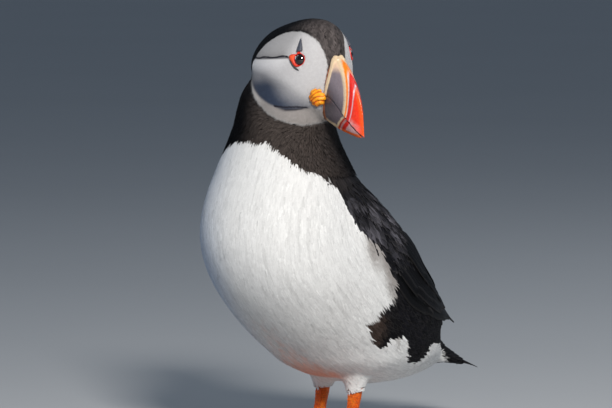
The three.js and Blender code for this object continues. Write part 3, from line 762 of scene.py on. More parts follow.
def upperBill():
    piece = detailCopy(["bill_upper"], "billUpper", billPlan["voxel"], 3, 0.05)
    bendMouth(piece, True)
    local = toHead(toBird(pointsOf(piece)))
    x, y, z = local.T
    arc = np.hypot(x - billPlan["arcCentre"][0], z - billPlan["arcCentre"][1])
    base = x - through(billPlan["baseLine"], z)
    ridgeWidth = through(billPlan["ridgeWidth"], z)
    flank = smoothStep(np.abs(y), 0.3, 1.6)
    amount = billPlan["ridge"] * smoothStep(base, -0.5, 0.5) * smoothStep(ridgeWidth - base, -0.35, 0.5) * flank
    for middle, depth, width in billPlan["grooves"]:
        amount = amount - depth * bump(arc, middle, width) * flank * smoothStep(z, -9, -5)
    amount = amount + 0.10 * bump(arc, 26.2, 0.9) * flank - 0.12 * bump(arc, 22.3, 0.3) * flank
    amount = amount + 0.03 * np.sin(arc * 9) * smoothStep(arc, 27.5, 29) + 0.03 * rough(local, 3, 11)
    push(piece, amount)
    tone = arrays(billTones)
    wave = 0.09 * rough(local, 2.2, 19)
    over = edgeGap(x, z, 1)
    firstGroove, tipGroove = (groove[0] for groove in billPlan["grooves"])
    palePart = fade(over, 1.2, 4.6) * smoothStep(arc, 27.8, 28.4) * fade(arc, 32, 36.2)
    tone["tipShaded"] = layered(tone, "tip", ("orange", 0.3 * fade(np.abs(y), 0.5, 1.6)),
                                ("pale", 0.75 * palePart * (0.75 + 0.25 * np.sign(wave))))
    paint(piece, "tint", layered(
        tone, "slate",
        ("slateLight", smoothStep(arc + 1.4 * z + 3 * wave, 10, 32)),
        ("peach", smoothStep(z - 0.28 * x + 2 * wave, 11.0, 15.4)),
        ("cream", smoothStep(arc + wave, 21.6, 22.8)),
        ("orange", smoothStep(arc + wave, 23.5, 24.0)),
        ("red", smoothStep(arc, 25.2, 25.5)),
        # the grooves: pale, tinted bluish by painted shade
        ("paleGrooveShade", 0.85 * bump(arc, firstGroove, 0.27) * fade(z, 14, 17)),
        ("tipShaded", smoothStep(arc, 27.3, 27.8)),
        ("paleGrooveShade", 0.85 * bump(arc, tipGroove, 0.22) * fade(z, 12, 15)),
        ("cream", smoothStep(ridgeWidth - base + wave, -0.2, 0.2)),
        ("rim", smoothStep(0.2 - base + wave, -0.2, 0.2)),
        ("mouth", fade(over, 0.05, 0.35) * 0.7 * (x > 3))))
    return piece


def lowerBill():
    piece = detailCopy(["bill_lower"], "billLower", billPlan["voxel"], 3, 0.05)
    bendMouth(piece, False)
    local = toHead(toBird(pointsOf(piece)))
    x, y, z = local.T
    slant = 0.75 * x - 0.66 * z
    flank = smoothStep(np.abs(y), 0.3, 1.4)
    amount = 0.03 * rough(local, 3, 13)
    for middle, depth, width in billPlan["lowerGrooves"]:
        amount = amount - depth * bump(slant, middle, width) * flank
    amount = amount + 0.12 * bump(slant, 17.1, 0.5) + 0.10 * bump(slant, 19.4, 0.7)
    push(piece, amount)
    wave = 0.22 * rough(local, 2.2, 23)
    under, below = edgeGap(x, z, 1), edgeGap(x, z, -1)
    paint(piece, "tint", layered(
        arrays(billTones), "slate",
        ("slateLight", 0.5 * smoothStep(slant + 2 * wave, 6, 14)),
        ("pale", 0.15 * bump(below + 0.3 * wave, 1.15, 0.35)),
        ("cream", smoothStep(3.0 - under + wave, -0.6, 0.5) * smoothStep(slant, -2, 4)),
        ("cream", smoothStep(slant + wave, 15.2, 15.8)),
        ("rim", smoothStep(1.0 - x + wave, -0.3, 0.3)),
        ("band", smoothStep(slant + wave, 16.4, 16.8)),
        ("red", smoothStep(slant, 18.4, 18.8)),
        ("pale", smoothStep(slant + wave, 20.4, 21.0)),
        ("lowEdge", smoothStep(2.2 - under + wave, -0.3, 0.6) * smoothStep(slant, 15.8, 17)),
        ("pale", bump(slant, billPlan["lowerGrooves"][0][0], 0.45)),
        ("tip", smoothStep(x, 27.5, 29.5) * 0.8),
        ("mouth", smoothStep(0.3 - below, -0.2, 0.15) * 0.7)))
    return piece


def hornFinish(name, roughness, coat, grain, depth):
    # horn and bare skin: the painted tint with fine mottling and growth marks
    material, shader, tint, place = painted(name, Roughness=roughness, Coat_Weight=coat, Coat_Roughness=0.25)
    mottle, fine = noise(place, grain, 4.0), noise(place, grain * 4, 2.0)
    color = tint.blend((0.0, 0.0, 0.0), mottle.between(0.45, 0.8) * 0.22)
    feed(shader, "Base Color", color.blend((1.0, 0.93, 0.85), fine.between(0.55, 0.8) * 0.10))
    feed(shader, "Roughness", mottle * 0.25 + (roughness - 0.1))
    feedBump(shader, mottle * 0.6 + fine * 0.4, 0.5, depth)
    return material


hornBill = hornFinish("hornBill", 0.36, 0.25, 700.0, 0.0001)
settle(upperBill(), ["bill_upper"], hornBill)
settle(lowerBill(), ["bill_lower"], hornBill)
print("bill shaped")

eyePlan = {
    "opening": [2.62, 2.8], "shift": 0.1, "ringHeight": 0.55, "ball": 2.78, "cornea": 0.22,
    "plateVoxel": 0.2, "rosetteVoxel": 0.22, "rosetteRise": 1.3, "mouthCorner": [1.6, -0.6],
    # the ring's thick places: direction in degrees, how sharp, how thick
    "ringPoints": [[189, 10, 2.7], [240, 2, 1.5], [128, 22, 1.3]], "ringThin": 0.16,
}
eyeTones = {
    "pupil": [0.001, 0.001, 0.001], "iris": [0.008, 0.004, 0.003], "ring": [0.70, 0.010, 0.003],
    "ringLight": [0.95, 0.15, 0.03], "plate": [0.050, 0.056, 0.078], "plateLow": [0.022, 0.038, 0.040],
    "rosette": [0.97, 0.38, 0.0], "rosetteFoldShade": [0.60, 0.06, 0.0],
}


def sphereFit(name):
    points = toBird(pointsOf(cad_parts[name]))
    rows = np.hstack([2 * points, np.ones((len(points), 1))])
    answer = np.linalg.lstsq(rows, (points ** 2).sum(1), rcond=None)[0]
    return answer[:3], math.sqrt(answer[3] + (answer[:3] ** 2).sum())


def gridQuads(order):
    # the quads between the points of numbered sheets, [..., row, place across]
    corners = [order[..., :-1, :-1], order[..., 1:, :-1], order[..., 1:, 1:], order[..., :-1, 1:]]
    return np.stack(corners, -1).reshape(-1, 4)


def gridObject(name, grid):
    # a smooth closed sheet over a grid of points, [row][place round]
    deep, wide = grid.shape[:2]
    order = np.arange(deep * wide).reshape(deep, wide)
    order = np.hstack([order, order[:, :1]])
    mesh = bpy.data.meshes.new(name)
    mesh.from_pydata(toScene(grid.reshape(-1, 3)).tolist(), [], gridQuads(order).tolist())
    obj = newObject(name, mesh)
    activate(obj)
    bpy.ops.object.mode_set(mode="EDIT")
    bpy.ops.mesh.select_all(action="SELECT")
    bpy.ops.mesh.remove_doubles(threshold=1e-7)
    bpy.ops.mesh.normals_make_consistent(inside=False)
    bpy.ops.object.mode_set(mode="OBJECT")
    bpy.ops.object.shade_smooth()
    return obj


def eyeball(side, word):
    centre, radius = sphereFit("eye_" + word)
    middle, ahead, up, out = nodeFrame("eye_ring_" + word, side)
    centre = centre - out * skinPlan["eyeSunk"]
    polar = np.linspace(0, math.pi, 40)[:, None]
    swing = np.linspace(0, 2 * math.pi, 64, endpoint=False)[None]
    reach = radius + eyePlan["cornea"] * np.exp(-(polar / 0.5) ** 2)
    grid = (centre + out * (np.cos(polar) * reach)[..., None] * np.ones_like(swing)[..., None]
            + ahead * (np.sin(polar) * np.cos(swing) * reach)[..., None]
            + up * (np.sin(polar) * np.sin(swing) * reach)[..., None])
    aside = np.stack([(grid - middle) @ ahead - eyePlan["shift"], (grid - middle) @ up], -1)
    far = np.hypot(*np.moveaxis(aside, -1, 0))
    inside = np.minimum(1, eyePlan["ball"] / np.maximum(far, 1e-6))[..., None] - 1  # kept within the ring
    grid = grid + ahead * aside[..., :1] * inside + up * aside[..., 1:] * inside
    piece = gridObject("eye" + word.title(), grid)
    away = toBird(pointsOf(piece)) - centre
    angle = np.degrees(np.arccos(np.clip(unit(away) @ out, -1, 1)))
    iris = smoothStep(angle, 21, 25) * fade(angle, 36, 44)
    paint(piece, "tint", layered(arrays(eyeTones), "pupil", ("iris", iris)))
    return piece


def eyeRing(side, word):
    middle, ahead, up, out = nodeFrame("eye_ring_" + word, side)
    swing = np.linspace(0, 2 * math.pi, 72, endpoint=False)
    thick = eyePlan["ringThin"]
    for angle, sharpness, size in eyePlan["ringPoints"]:
        thick = thick + size * np.maximum(0, np.cos(swing - math.radians(angle))) ** sharpness
    a, b = eyePlan["opening"]
    inner = np.stack([a * np.cos(swing) + eyePlan["shift"], b * np.sin(swing)], -1)
    outward = unit(np.stack([b * np.cos(swing), a * np.sin(swing)], -1))
    rows = []
    for share in np.linspace(0, 1, 12):
        tilt = math.pi * share
        flat = inner + outward * (thick * (1 - math.cos(tilt)) / 2)[:, None]
        spot = middle + ahead * flat[:, :1] + up * flat[:, 1:]
        height = eyePlan["ringHeight"] * math.sin(tilt) * (0.25 + 0.38 * thick) + 0.02 * rng.normal(size=72)
        sink = 0.9 * max(share - 0.5, 0)  # the outer edge goes down to the skin
        rows.append(spot + out * (height - sink)[:, None])
    for share in (1.0, 0.0):  # the hidden back closes the ring
        flat = inner + outward * (thick * share)[:, None]
        rows.append(middle + ahead * flat[:, :1] + up * flat[:, 1:] - out * 1.3)
    rows.append(rows[0])
    piece = gridObject("eyeRing" + word.title(), np.array(rows))
    bird = toBird(pointsOf(piece))
    light = smoothStep((bird - middle) @ out + 0.1 * rough(bird, 1.2, 3), 0.25, 0.6)
    paint(piece, "tint", layered(arrays(eyeTones), "ring", ("ringLight", 0.55 * light)))
    return piece


def eyePlate(kind, word, side, tone):
    piece = detailCopy(["eye_plate_" + kind + "_" + word], "eyePlate" + kind.title() + word.title(),
                       eyePlan["plateVoxel"], 3, 0.22)
    middle, ahead, up, out = nodeFrame("eye_ring_" + word, side)
    bird = toBird(pointsOf(piece)) - out * skinPlan["eyeSunk"]
    if kind == "lower":
        bird = bird + ahead * 0.9 + up * 0.4
    else:
        rise = (bird - middle) @ up - 2.5
        bird = bird + up * (0.4 * rise - 1.1)[:, None] - ahead * (0.75 + 0.12 * rise)[:, None]
    setPoints(piece, toScene(bird))
    push(piece, 0.05 * rough(bird, 1.5, 29))
    paint(piece, "tint", np.array(tone) * (1 + 0.25 * rough(bird, 1.0, 31))[:, None].clip(0.5, 1.6))
    return piece


def rosette(word):
    piece = detailCopy(["gape_rosette_" + word], "gapeRosette" + word.title(), eyePlan["rosetteVoxel"], 3)
    local = toHead(toBird(pointsOf(piece)))
    ahead, up = local[:, 0] - eyePlan["mouthCorner"][0], local[:, 2] - eyePlan["mouthCorner"][1]
    across = 0.68 * up - 0.73 * ahead + 0.35 * np.sin(0.9 * ahead + 0.5) + 0.25 * rough(local, 4, 47)
    folds = np.abs(np.sin(across * math.pi / 1.75 + 0.4)) ** 0.6
    cross = np.sin(1.9 * (0.6 * up + 0.8 * ahead) + 2.0 * np.sin(across))
    amount = 0.75 * (folds - 0.62) + 0.12 * cross + 0.05 * rough(local, 1.1, 37)
    push(piece, amount * smoothStep(np.hypot(ahead, up), 0.3, 1.8))
    setPoints(piece, pointsOf(piece) + headAxis[2] * eyePlan["rosetteRise"] / 1000)
    # painted shade in the folds' bottoms, and darker towards the lower rear
    deep = smoothStep(0.62 - folds + 0.05 * cross, -0.05, 0.35)
    lowRear = smoothStep(-up - ahead, 3.2, 7.5) * 0.45
    paint(piece, "tint", layered(arrays(eyeTones), "rosette", ("rosetteFoldShade", np.clip(deep + lowRear, 0, 1))))
    return piece


def eyeFinish():
    material, shader, tint, place = painted("eyeWet", Roughness=0.08, Coat_Weight=1.0, Coat_Roughness=0.03)
    fleck = noise(place, 2600.0, 3.0).between(0.5, 0.8)
    feed(shader, "Base Color", tint.blend((0.05, 0.02, 0.008), fleck * 0.2))
    return material


eyeWet = eyeFinish()
softRing = hornFinish("softRing", 0.42, 0.15, 1500.0, 0.00012)
plateHorn = hornFinish("plateHorn", 0.55, 0.05, 1200.0, 0.00012)
rosetteSkin = hornFinish("rosetteSkin", 0.48, 0.12, 1100.0, 0.00016)
ornaments = []
for side, word in ((1, "left"), (-1, "right")):
    for piece, node, slotName, material in (
            (eyeball(side, word), "eye_", "eye", eyeWet),
            (eyeRing(side, word), "eye_ring_", "eye_ring", softRing),
            (eyePlate("upper", word, side, eyeTones["plate"]), "eye_plate_upper_", "eye_plate", plateHorn),
            (eyePlate("lower", word, side, eyeTones["plateLow"]), "eye_plate_lower_", "eye_plate", plateHorn),
            (rosette(word), "gape_rosette_", "rosette", rosetteSkin)):
        settle(piece, [node + word], material)
        ornaments.append(piece)
print("eyes and rosettes shaped")

cornerAreas = np.linalg.norm(np.cross(
    skinPoints[skinFaces[:, 1]] - skinPoints[skinFaces[:, 0]],
    skinPoints[skinFaces[:, 2]] - skinPoints[skinFaces[:, 0]]), axis=1) / 2
faceMiddles = skinPoints[skinFaces].mean(1)


def scatter(chosen, spacing):
    # evenly spread roots on the skin's triangles that chosen picks
    index = np.flatnonzero(chosen)
    area = cornerAreas[index]
    count = int(3.2 * area.sum() / spacing ** 2)  # many more than are kept
    pick = index[np.searchsorted(np.cumsum(area) / area.sum(), rng.random(count))]
    a, b = np.sqrt(rng.random(count)), rng.random(count)
    share = np.stack([1 - a, a * (1 - b), a * b], -1)[:, :, None]
    points = (skinPoints[skinFaces[pick]] * share).sum(1)
    normals = unit((skinNormals[skinFaces[pick]] * share).sum(1))
    cells = np.floor(points / spacing).astype(int).tolist()
    spots = points.tolist()
    taken, kept, limit = {}, [], spacing ** 2 * 0.72
    around = [(i, j, k) for i in (-1, 0, 1) for j in (-1, 0, 1) for k in (-1, 0, 1)]
    for n, (p, (cx, cy, cz)) in enumerate(zip(spots, cells)):
        free = True
        for i, j, k in around:
            for q in taken.get((cx + i, cy + j, cz + k), ()):
                if (p[0] - q[0]) ** 2 + (p[1] - q[1]) ** 2 + (p[2] - q[2]) ** 2 < limit:
                    free = False
                    break
            if not free:
                break
        if free:
            taken.setdefault((cx, cy, cz), []).append(p)
            kept.append(n)
    return points[kept], normals[kept]


def nearest(points):
    # the skin's nearest point and its normal, for each point
    spots, normals = np.empty_like(points), np.empty_like(points)
    find = skinTree.find_nearest
    for n, p in enumerate(points.tolist()):
        spot, normal, _, _ = find(p)
        spots[n], normals[n] = spot, normal
    return spots, normals


def lie(bird):
    # which way the coat runs at points of the skin
    s, t = trunkPlace(bird)
    body = trunkLie(s, t)
    body[:, 0] = -0.25 * np.sign(bird[:, 0]) * smoothStep(s, 8, 11)  # drawn in towards the tail
    local = toHead(bird)
    away = local - np.array([9.0, 0, 1.0])  # back from the bill on the head
    away[:, 2] *= np.where(local[:, 2] < 0, 0.55, 0.9)
    over = unit(away) @ headAxis
    return unit(mixRows(body, over, smoothStep(aboveNeck(local[:, 0], local[:, 2]), -30, -12)))


def bakePlace(bird):
    # a place on the unwrap of the skin: the body as a strip round its length, the head as another
    s, t = trunkPlace(bird)
    round_ = np.arctan2(bird[:, 0], (t - 0.5) * 40) / (2 * math.pi) + 0.5
    local = toHead(bird)
    tilt = np.arctan2(np.hypot(local[:, 1], local[:, 2]), local[:, 0] + 26) / math.pi
    swing = np.arctan2(local[:, 1], local[:, 2]) / (2 * math.pi) + 0.5
    onHead = (aboveNeck(local[:, 0], local[:, 2]) > -16)[:, None]
    body = np.stack([0.02 + 0.62 * round_, 0.02 + 0.96 * s / 12], -1)
    crown = np.stack([0.68 + 0.3 * swing, 0.02 + 0.96 * tilt], -1)
    return np.where(onHead, crown, body)


def quadObject(name, points, faces):
    mesh = bpy.data.meshes.new(name)
    mesh.vertices.add(len(points))
    mesh.vertices.foreach_set("co", toScene(points).ravel())
    mesh.loops.add(faces.size)
    mesh.loops.foreach_set("vertex_index", faces.ravel().astype(np.int32))
    mesh.polygons.add(len(faces))
    mesh.polygons.foreach_set("loop_start", np.arange(0, faces.size, 4, dtype=np.int32))
    mesh.update(calc_edges=True)
    mesh.polygons.foreach_set("use_smooth", np.ones(len(faces), bool))
    print(" ", name, len(faces) * 2, "triangles")
    return newObject(name, mesh)


def addMaps(obj, faces, vanes, patches):
    # one map runs across and along each vane, the other says where its colours are baked
    for title, values in (("vane", vanes), ("OFBake", patches)):
        layer = obj.data.uv_layers.new(name=title)
        layer.data.foreach_set("uv", values[faces.ravel()].ravel())


def growFeathers(name, roots, normals, ways, plan, lengths, widths, lifts, tints, edges=None, crisp=False):
    # one mesh of many vanes that follow the skin. plan: "rows" as [share of length, half width, height],
    # "columns" across as -1..1, "tips" as how far each column runs on past the last row, "soft" as how
    # far the shading follows the skin; crisp paints every point by its own place, not the root's
    rows, columns, tips = (np.array(plan[key], float) for key in ("rows", "columns", "tips"))
    count, deep, wide = len(roots), len(rows), len(columns)
    spots, up = roots.copy(), normals.copy()
    way = unit(ways - normals * (ways * normals).sum(1, keepdims=True))
    grid = np.empty((count, deep, wide, 3))
    skinUps = np.empty((count, deep, wide, 3))
    sunk = plan.get("sunk", -0.3)
    last = 0.0
    for k, (share, half, height) in enumerate(rows):
        if share > last:
            spots = spots + way * ((share - last) * lengths)[:, None]
            spots, up = nearest(spots)
            way = unit(way - up * (way * up).sum(1, keepdims=True))
            last = share
        across = np.cross(up, way)
        rise = sunk + (lifts - sunk) * height
        for j, c in enumerate(columns):
            run = tips[j] * lengths if k == deep - 1 else np.zeros(count)
            sag = plan["camber"] * c * c * widths * half
            grid[:, k, j] = (spots + across * (c * half * widths)[:, None] + way * run[:, None]
                             + up * (rise - sag)[:, None])
            skinUps[:, k, j] = up
    faces = gridQuads(np.arange(count * deep * wide).reshape(count, deep, wide))
    obj = quadObject(name, grid.reshape(-1, 3), faces)
    soft = plan.get("soft", 0.3)
    obj.data.normals_split_custom_set_from_vertices(
        unit(normalsOf(obj) * (1 - soft) + skinUps.reshape(-1, 3) * soft).tolist())
    colors = np.repeat(tints, deep * wide, axis=0)
    if crisp:
        own = markings(grid.reshape(-1, 3))
        change = np.repeat(tints.mean(1) / markings(roots).mean(1), deep * wide) - 1
        colors = np.clip(own * (1 + change * fade(own.mean(1), 0.1, 0.3))[:, None], 0, 1)
    paint(obj, "tint", colors)
    if edges is not None:
        paint(obj, "edge", np.repeat(edges, deep * wide))
    along = np.empty((deep, wide, 2))
    along[:, :, 0] = (columns[None] + 1) / 2
    along[:, :, 1] = rows[:, :1] + np.where(np.arange(deep)[:, None] == deep - 1, tips[None], 0)
    each = np.tile(along.reshape(-1, 2), (count, 1))
    patchSize = 0.003
    addMaps(obj, faces, each, (each - 0.5) * patchSize + np.repeat(bakePlace(roots), deep * wide, axis=0))
    return obj


def plumage(name, barbs, sheen, roughness, gloss):
    # feather finish: the tint of each vane, finer barbs, a quill line and paler edges, partly wear and partly painted
    # sheen
    material, shader, tint, place = painted(
        name, Roughness=roughness, Sheen_Weight=sheen, Specular_IOR_Level=gloss)
    edge = tint.node("ShaderNodeAttribute", {"attribute_name": "edge"}, out="Fac")
    vane = tint.node("ShaderNodeUVMap", {"uv_map": "vane"})
    across = vane.node("ShaderNodeSeparateXYZ", inputs={0: vane})
    run = Wire(across.tree, across.socket.node.outputs[1])
    aside = (across - 0.5).math("ABSOLUTE") * 2
    slant = (run * barbs + aside * (barbs * 0.45)).math("SINE")
    fray = aside.between(0.45, 1.0) + run.between(0.75, 1.05)
    color = tint.blend((0.0, 0.0, 0.0), (slant * 0.5 + 0.5) * 0.16)
    color = color.blend((0.30, 0.28, 0.27), (edge * fray).math("MINIMUM", 1.0))
    speckle = noise(place, 900.0, 2.0).between(0.35, 0.75)
    feed(shader, "Base Color", color.blend((1.0, 1.0, 1.0), speckle * 0.10, "OVERLAY"))
    feedBump(shader, slant, 0.25, 0.0002)
    return material

coats = {
    # spacing, length and half width in mm; rows as [share of length, width, height]; lift is the tips'
    # height as a share of the coat's depth; reach is where along a tuft its shade is taken
    "breast": {
        "spacing": 0.64, "length": [7, 10], "width": 0.35, "lift": [0.89, 0.96], "camber": 0.2, "sway": 0.09,
        "rows": [[0, 0.9, 0], [0.22, 1.4, 0.8], [0.55, 1.5, 0.99], [1.0, 0.3, 0.97]],
        "columns": [-1, 0, 1], "tips": [-0.08, 0.04, -0.04], "soft": 0.55, "reach": 0.5, "pale": True,
    },
    "neck": {
        "spacing": 0.66, "length": [3.2, 4.4], "width": 0.38, "lift": [0.78, 0.92], "camber": 0.25, "sway": 0.15,
        "rows": [[0, 0.6, 0], [0.45, 1.15, 0.75], [1.0, 0.3, 0.97]],
        "columns": [-1, 0, 1], "tips": [-0.08, 0.08, -0.04], "soft": 0.45, "reach": 0.3,
    },
    "mantle": {
        "spacing": 1.15, "length": [7, 11], "width": 0.55, "lift": [0.74, 0.94], "camber": 0.25, "sway": 0.10,
        "rows": [[0, 0.9, 0], [0.35, 1.5, 0.65], [0.75, 1.4, 0.97], [1.0, 0.35, 0.97]],
        "columns": [-1, -0.33, 0.33, 1], "tips": [-0.10, 0.04, 0.02, -0.12], "soft": 0.5, "reach": 0.5,
        "edgeWearAndSheen": [0, 0.08],
    },
    "coverts": {
        "spacing": 1.7, "length": [9, 14], "width": 0.8, "lift": [0.72, 0.95], "camber": 0.25, "sway": 0.06,
        "rows": [[0, 1.0, 0], [0.3, 1.9, 0.6], [0.75, 1.9, 0.95], [1.0, 0.7, 1.0]],
        "columns": [-1, -0.5, 0, 0.5, 1], "tips": [-0.14, 0.0, 0.04, 0.0, -0.14], "soft": 0.4, "reach": 0.5,
        "edgeWearAndSheen": [0, 0.12],
    },
    "cheek": {
        "spacing": 0.6, "length": [1.5, 2.2], "width": 0.75, "lift": [0.74, 0.80], "camber": 0.08, "sway": 0.06,
        "rows": [[0, 0.6, 0], [0.28, 0.85, 0.82], [0.58, 0.85, 1.0], [1.0, 0.4, 0.97]],
        "columns": [-1, 0, 1], "tips": [-0.1, 0.12, -0.06], "soft": 0.75, "clear": True, "crisp": True,
    },
    "crease": {
        "length": [1.4, 2.0], "width": 0.20, "lift": [0.42, 0.5], "camber": 0.3,
        "rows": [[0, 0.6, 0], [0.35, 1.0, 0.85], [0.75, 0.9, 1.0], [1.0, 0.4, 0.8]],
        "columns": [-1, 0, 1], "tips": [-0.1, 0.12, -0.06], "soft": 0.7,
        # which line, from and to where along the head, and how far apart
        "runs": [["eyeCrease", -42, -17.4, 0.16], ["cheekCrease", -16, -4.6, 0.11]],
    },
    "crown": {
        "spacing": 0.66, "length": [2.0, 3.0], "width": 0.75, "lift": [0.68, 0.88], "camber": 0.15, "sway": 0.16,
        "rows": [[0, 0.5, 0], [0.28, 0.75, 0.78], [0.6, 0.7, 0.98], [1.0, 0.3, 1.0]],
        "columns": [-1, 0, 1], "tips": [-0.1, 0.15, -0.04], "soft": 0.5, "clear": True, "crisp": True,
    },
}


ornamentTrees = [BVHTree.FromPolygons(toBird(pointsOf(piece)).tolist(), trianglesOf(piece).tolist())
                 for piece in ornaments]


def growCoat(name, chosen, plan, spread):
    # clear keeps a coat off the eyes and their ornaments; spread is how much the tints differ
    roots, normals = scatter(chosen, plan["spacing"])
    room = np.full(len(roots), 99.0)
    if plan.get("clear"):
        room = np.min([gaps(tree, roots) for tree in ornamentTrees], axis=0)
    roots, normals, room = roots[room > 0.3], normals[room > 0.3], room[room > 0.3]
    count = len(roots)
    ways = lie(roots)
    aside = np.cross(normals, ways)
    turn = plan["sway"] * rng.normal(size=count) + 0.5 * plan["sway"] * rough(roots, 18, 61)
    ways = unit(ways + aside * turn[:, None])
    lengths = rng.uniform(*plan["length"], count) * mix(0.3, 1, smoothStep(roots[:, 2], 24, 42))  # short by the legs
    lifts = rng.uniform(*plan["lift"], count) * coatDepth(roots)
    lengths, lifts = np.minimum(lengths, room + 0.15), lifts * smoothStep(room, -0.6, 1.6)
    widths = plan["width"] * rng.uniform(0.85, 1.15, count)
    tints = markings(roots + ways * (plan.get("reach", 0) * lengths[:, None]), plan.get("pale", False))
    tints = np.clip(tints * (1 + spread * rng.normal(size=(count, 1))), 0, 1)
    edges = rng.uniform(*plan["edgeWearAndSheen"], count) if "edgeWearAndSheen" in plan else np.zeros(count)
    return growFeathers(name, roots, normals, ways, plan, lengths, widths, lifts, tints, edges,
                        plan.get("crisp", False))


def creaseLines():
    # thin dark folds behind the eye and under the cheek: their own dark lines with painted shade of the folds
    plan = coats["crease"]
    roots, ways = [], []
    for key, rear, front, step in plan["runs"]:
        for side in (1, -1):
            for x in np.arange(rear, front, step):
                z = float(through(lines[key], x)) + 0.35 * math.sin(x * 0.55) + rng.normal() * 0.08
                roots.append(fromHead([x, side * 24.0, z]))
                ways.append(-headAxis[0])
    roots, ways = np.array(roots), np.array(ways)
    inward = fromHead(toHead(roots) * [1, 0, 1])
    spots, normals = np.empty_like(roots), np.empty_like(roots)
    for n, (root, aim) in enumerate(zip(roots.tolist(), inward.tolist())):
        hit, normal, _, _ = skinTree.ray_cast(Vector(root), (Vector(aim) - Vector(root)).normalized())
        spots[n], normals[n] = hit, normal
    count = len(spots)
    lengths = rng.uniform(*plan["length"], count)
    return growFeathers("creaseLines", spots, normals, ways, plan, lengths, np.full(count, plan["width"]),
                        rng.uniform(*plan["lift"], count), np.tile(tones["crease"], (count, 1)))


coatPlan = {
    # heights in the bird's frame, places down the body, and slopes
    "foot": 22.5, "headLine": -17, "neckHeight": 133, "flanks": 3.7, "belly": 6.8,
    "tipReach": {"body": 5.0, "head": 2.2, "height": 128},
    "wingRun": [0, 0.84, -0.54], "wingUp": [0, 0.54, 0.84],
    # where the coverts give way to the long feathers: at the wing's lower edge, and how fast it runs back
    "covertEnd": [-63.6, 68.4], "covertSlope": 2.33, "covertLimits": [-60, -8],
}
where = regions(faceMiddles)
height = faceMiddles[:, 2]
tips = coatPlan["tipReach"]  # markings are read some way along the tufts, not at their roots
tips = np.where(height > tips["height"], tips["head"], tips["body"])
darkTip = regions(faceMiddles + lie(faceMiddles) * tips[:, None])["dark"] > 0.5
onWing = wingShare(skinPoints)[skinFaces].mean(1) > 0.5
feathered = height > coatPlan["foot"]
onHead = aboveNeck(where["x"], where["z"]) > coatPlan["headLine"]
faceHere = (where["face"] > 0.5) & feathered
crownHere = onHead & ~faceHere
neckHere = ~onHead & ~faceHere & (height > coatPlan["neckHeight"]) & darkTip
along, rise = faceMiddles @ np.array(coatPlan["wingRun"]), faceMiddles @ np.array(coatPlan["wingUp"])
covertEnd = coatPlan["covertEnd"][0] + (rise - coatPlan["covertEnd"][1]) * coatPlan["covertSlope"]
covertEnd = np.clip(covertEnd, *coatPlan["covertLimits"])
wingHere = onWing & darkTip & ~neckHere & (along < covertEnd)
bareWing = onWing & (along >= covertEnd)
mantleHere = darkTip & ~onHead & ~neckHere & ~wingHere & ~bareWing & feathered
whiteHere = feathered & ~onHead & ~faceHere & ~darkTip
downBody = trunkPlace(faceMiddles)[0]
bellyHere = whiteHere & (downBody > coatPlan["belly"])
flanksHere = whiteHere & (downBody > coatPlan["flanks"]) & ~bellyHere
leftSide = faceMiddles[:, 0] > 0
plumageSoft = plumage("plumageSoft", 60, 0.08, 0.75, 0.2)
plumageDark = plumage("plumageDark", 70, 0.0, 0.65, 0.08)
coatTable = [
    # name, where it grows, kind, how much its tints differ, material and slot
    ("coatBreast", whiteHere & (downBody <= coatPlan["flanks"]), "breast", 0.04, plumageSoft, "plumage_white"),
    ("coatFlanks", flanksHere, "breast", 0.06, plumageSoft, "plumage_white"),
    ("coatBellyLeft", bellyHere & leftSide, "breast", 0.075, plumageSoft, "plumage_white"),
    ("coatBellyRight", bellyHere & ~leftSide, "breast", 0.075, plumageSoft, "plumage_white"),
    ("coatNeck", neckHere, "neck", 0.2, plumageDark, "plumage_black"),
    ("coatMantle", mantleHere, "mantle", 0.3, plumageDark, "plumage_black"),
    ("coatCoverts", wingHere, "coverts", 0.3, plumageDark, "plumage_black"),
    ("coatFace", faceHere, "cheek", 0.03, plumageSoft, "plumage_face"),
    ("creaseLines", None, "crease", 0, plumageDark, "plumage_face"),
    ("coatCrown", crownHere, "crown", 0.28, plumageDark, "plumage_black"),
]
for name, chosen, kind, spread, material, slotName in coatTable:
    piece = creaseLines() if kind == "crease" else growCoat(name, chosen, coats[kind], spread)
    settle(piece, [], material)
print("coats grown")

wingPlan = {
    # along the folded wing's middle line: x, y, z, half chord
    "run": [[27, -44, 130, 4], [30, -37.5, 126, 10], [34, -27, 117, 16], [36, -14, 105, 20], [36.6, 1, 91.5, 22],
            [35, 14, 79.5, 21], [31, 29, 69.5, 16.5], [24, 44, 62, 12], [15.5, 61, 56, 6.5], [9.8, 72, 52.5, 4],
            [7, 80, 50, 1.6]],
    "stations": 14, "thick": 0.32, "bend": 7, "bendAcross": 92, "rootSunk": 1.6,
    # primaries, secondaries and tertials: root and tip as [along the wing, across it], and height above
    # it, each number as [of the first feather, change to the next]
    "groups": [
        {"count": 10, "half": 3.1, "bow": 0.05, "height": [-0.566, 0.024],
         "root": [[0.50, -0.006], [-0.15, 0.10]], "tip": [[0.995, -0.026], [-0.25, 0.11]]},
        {"count": 12, "half": 3.6, "bow": 0.03, "height": [0.25, -0.08],
         "root": [[0.36, 0], [-0.25, 0.085]], "tip": [[0.754, -0.014], [0.0385, 0.0765]]},
        {"count": 5, "half": 4.14, "bow": 0, "height": [0.45, -0.064],
         "root": [[0.34, 0], [-0.75, 0.13]], "tip": [[0.70, -0.02], [-0.55, 0.17]]},
    ],
}
tailPlan = {
    # y and z along the middle feather; the outer ones end sooner and lie lower
    "run": [[58, 43.5], [66, 39], [77, 34.8], [85, 31.4], [91.3, 28.6]], "feathers": 14, "half": 3.0,
    "rootSpread": 6.5, "tipSpread": 14.2, "thick": 0.3, "step": 0.11, "sooner": 1.8, "lower": 1.4, "stations": 12,
}


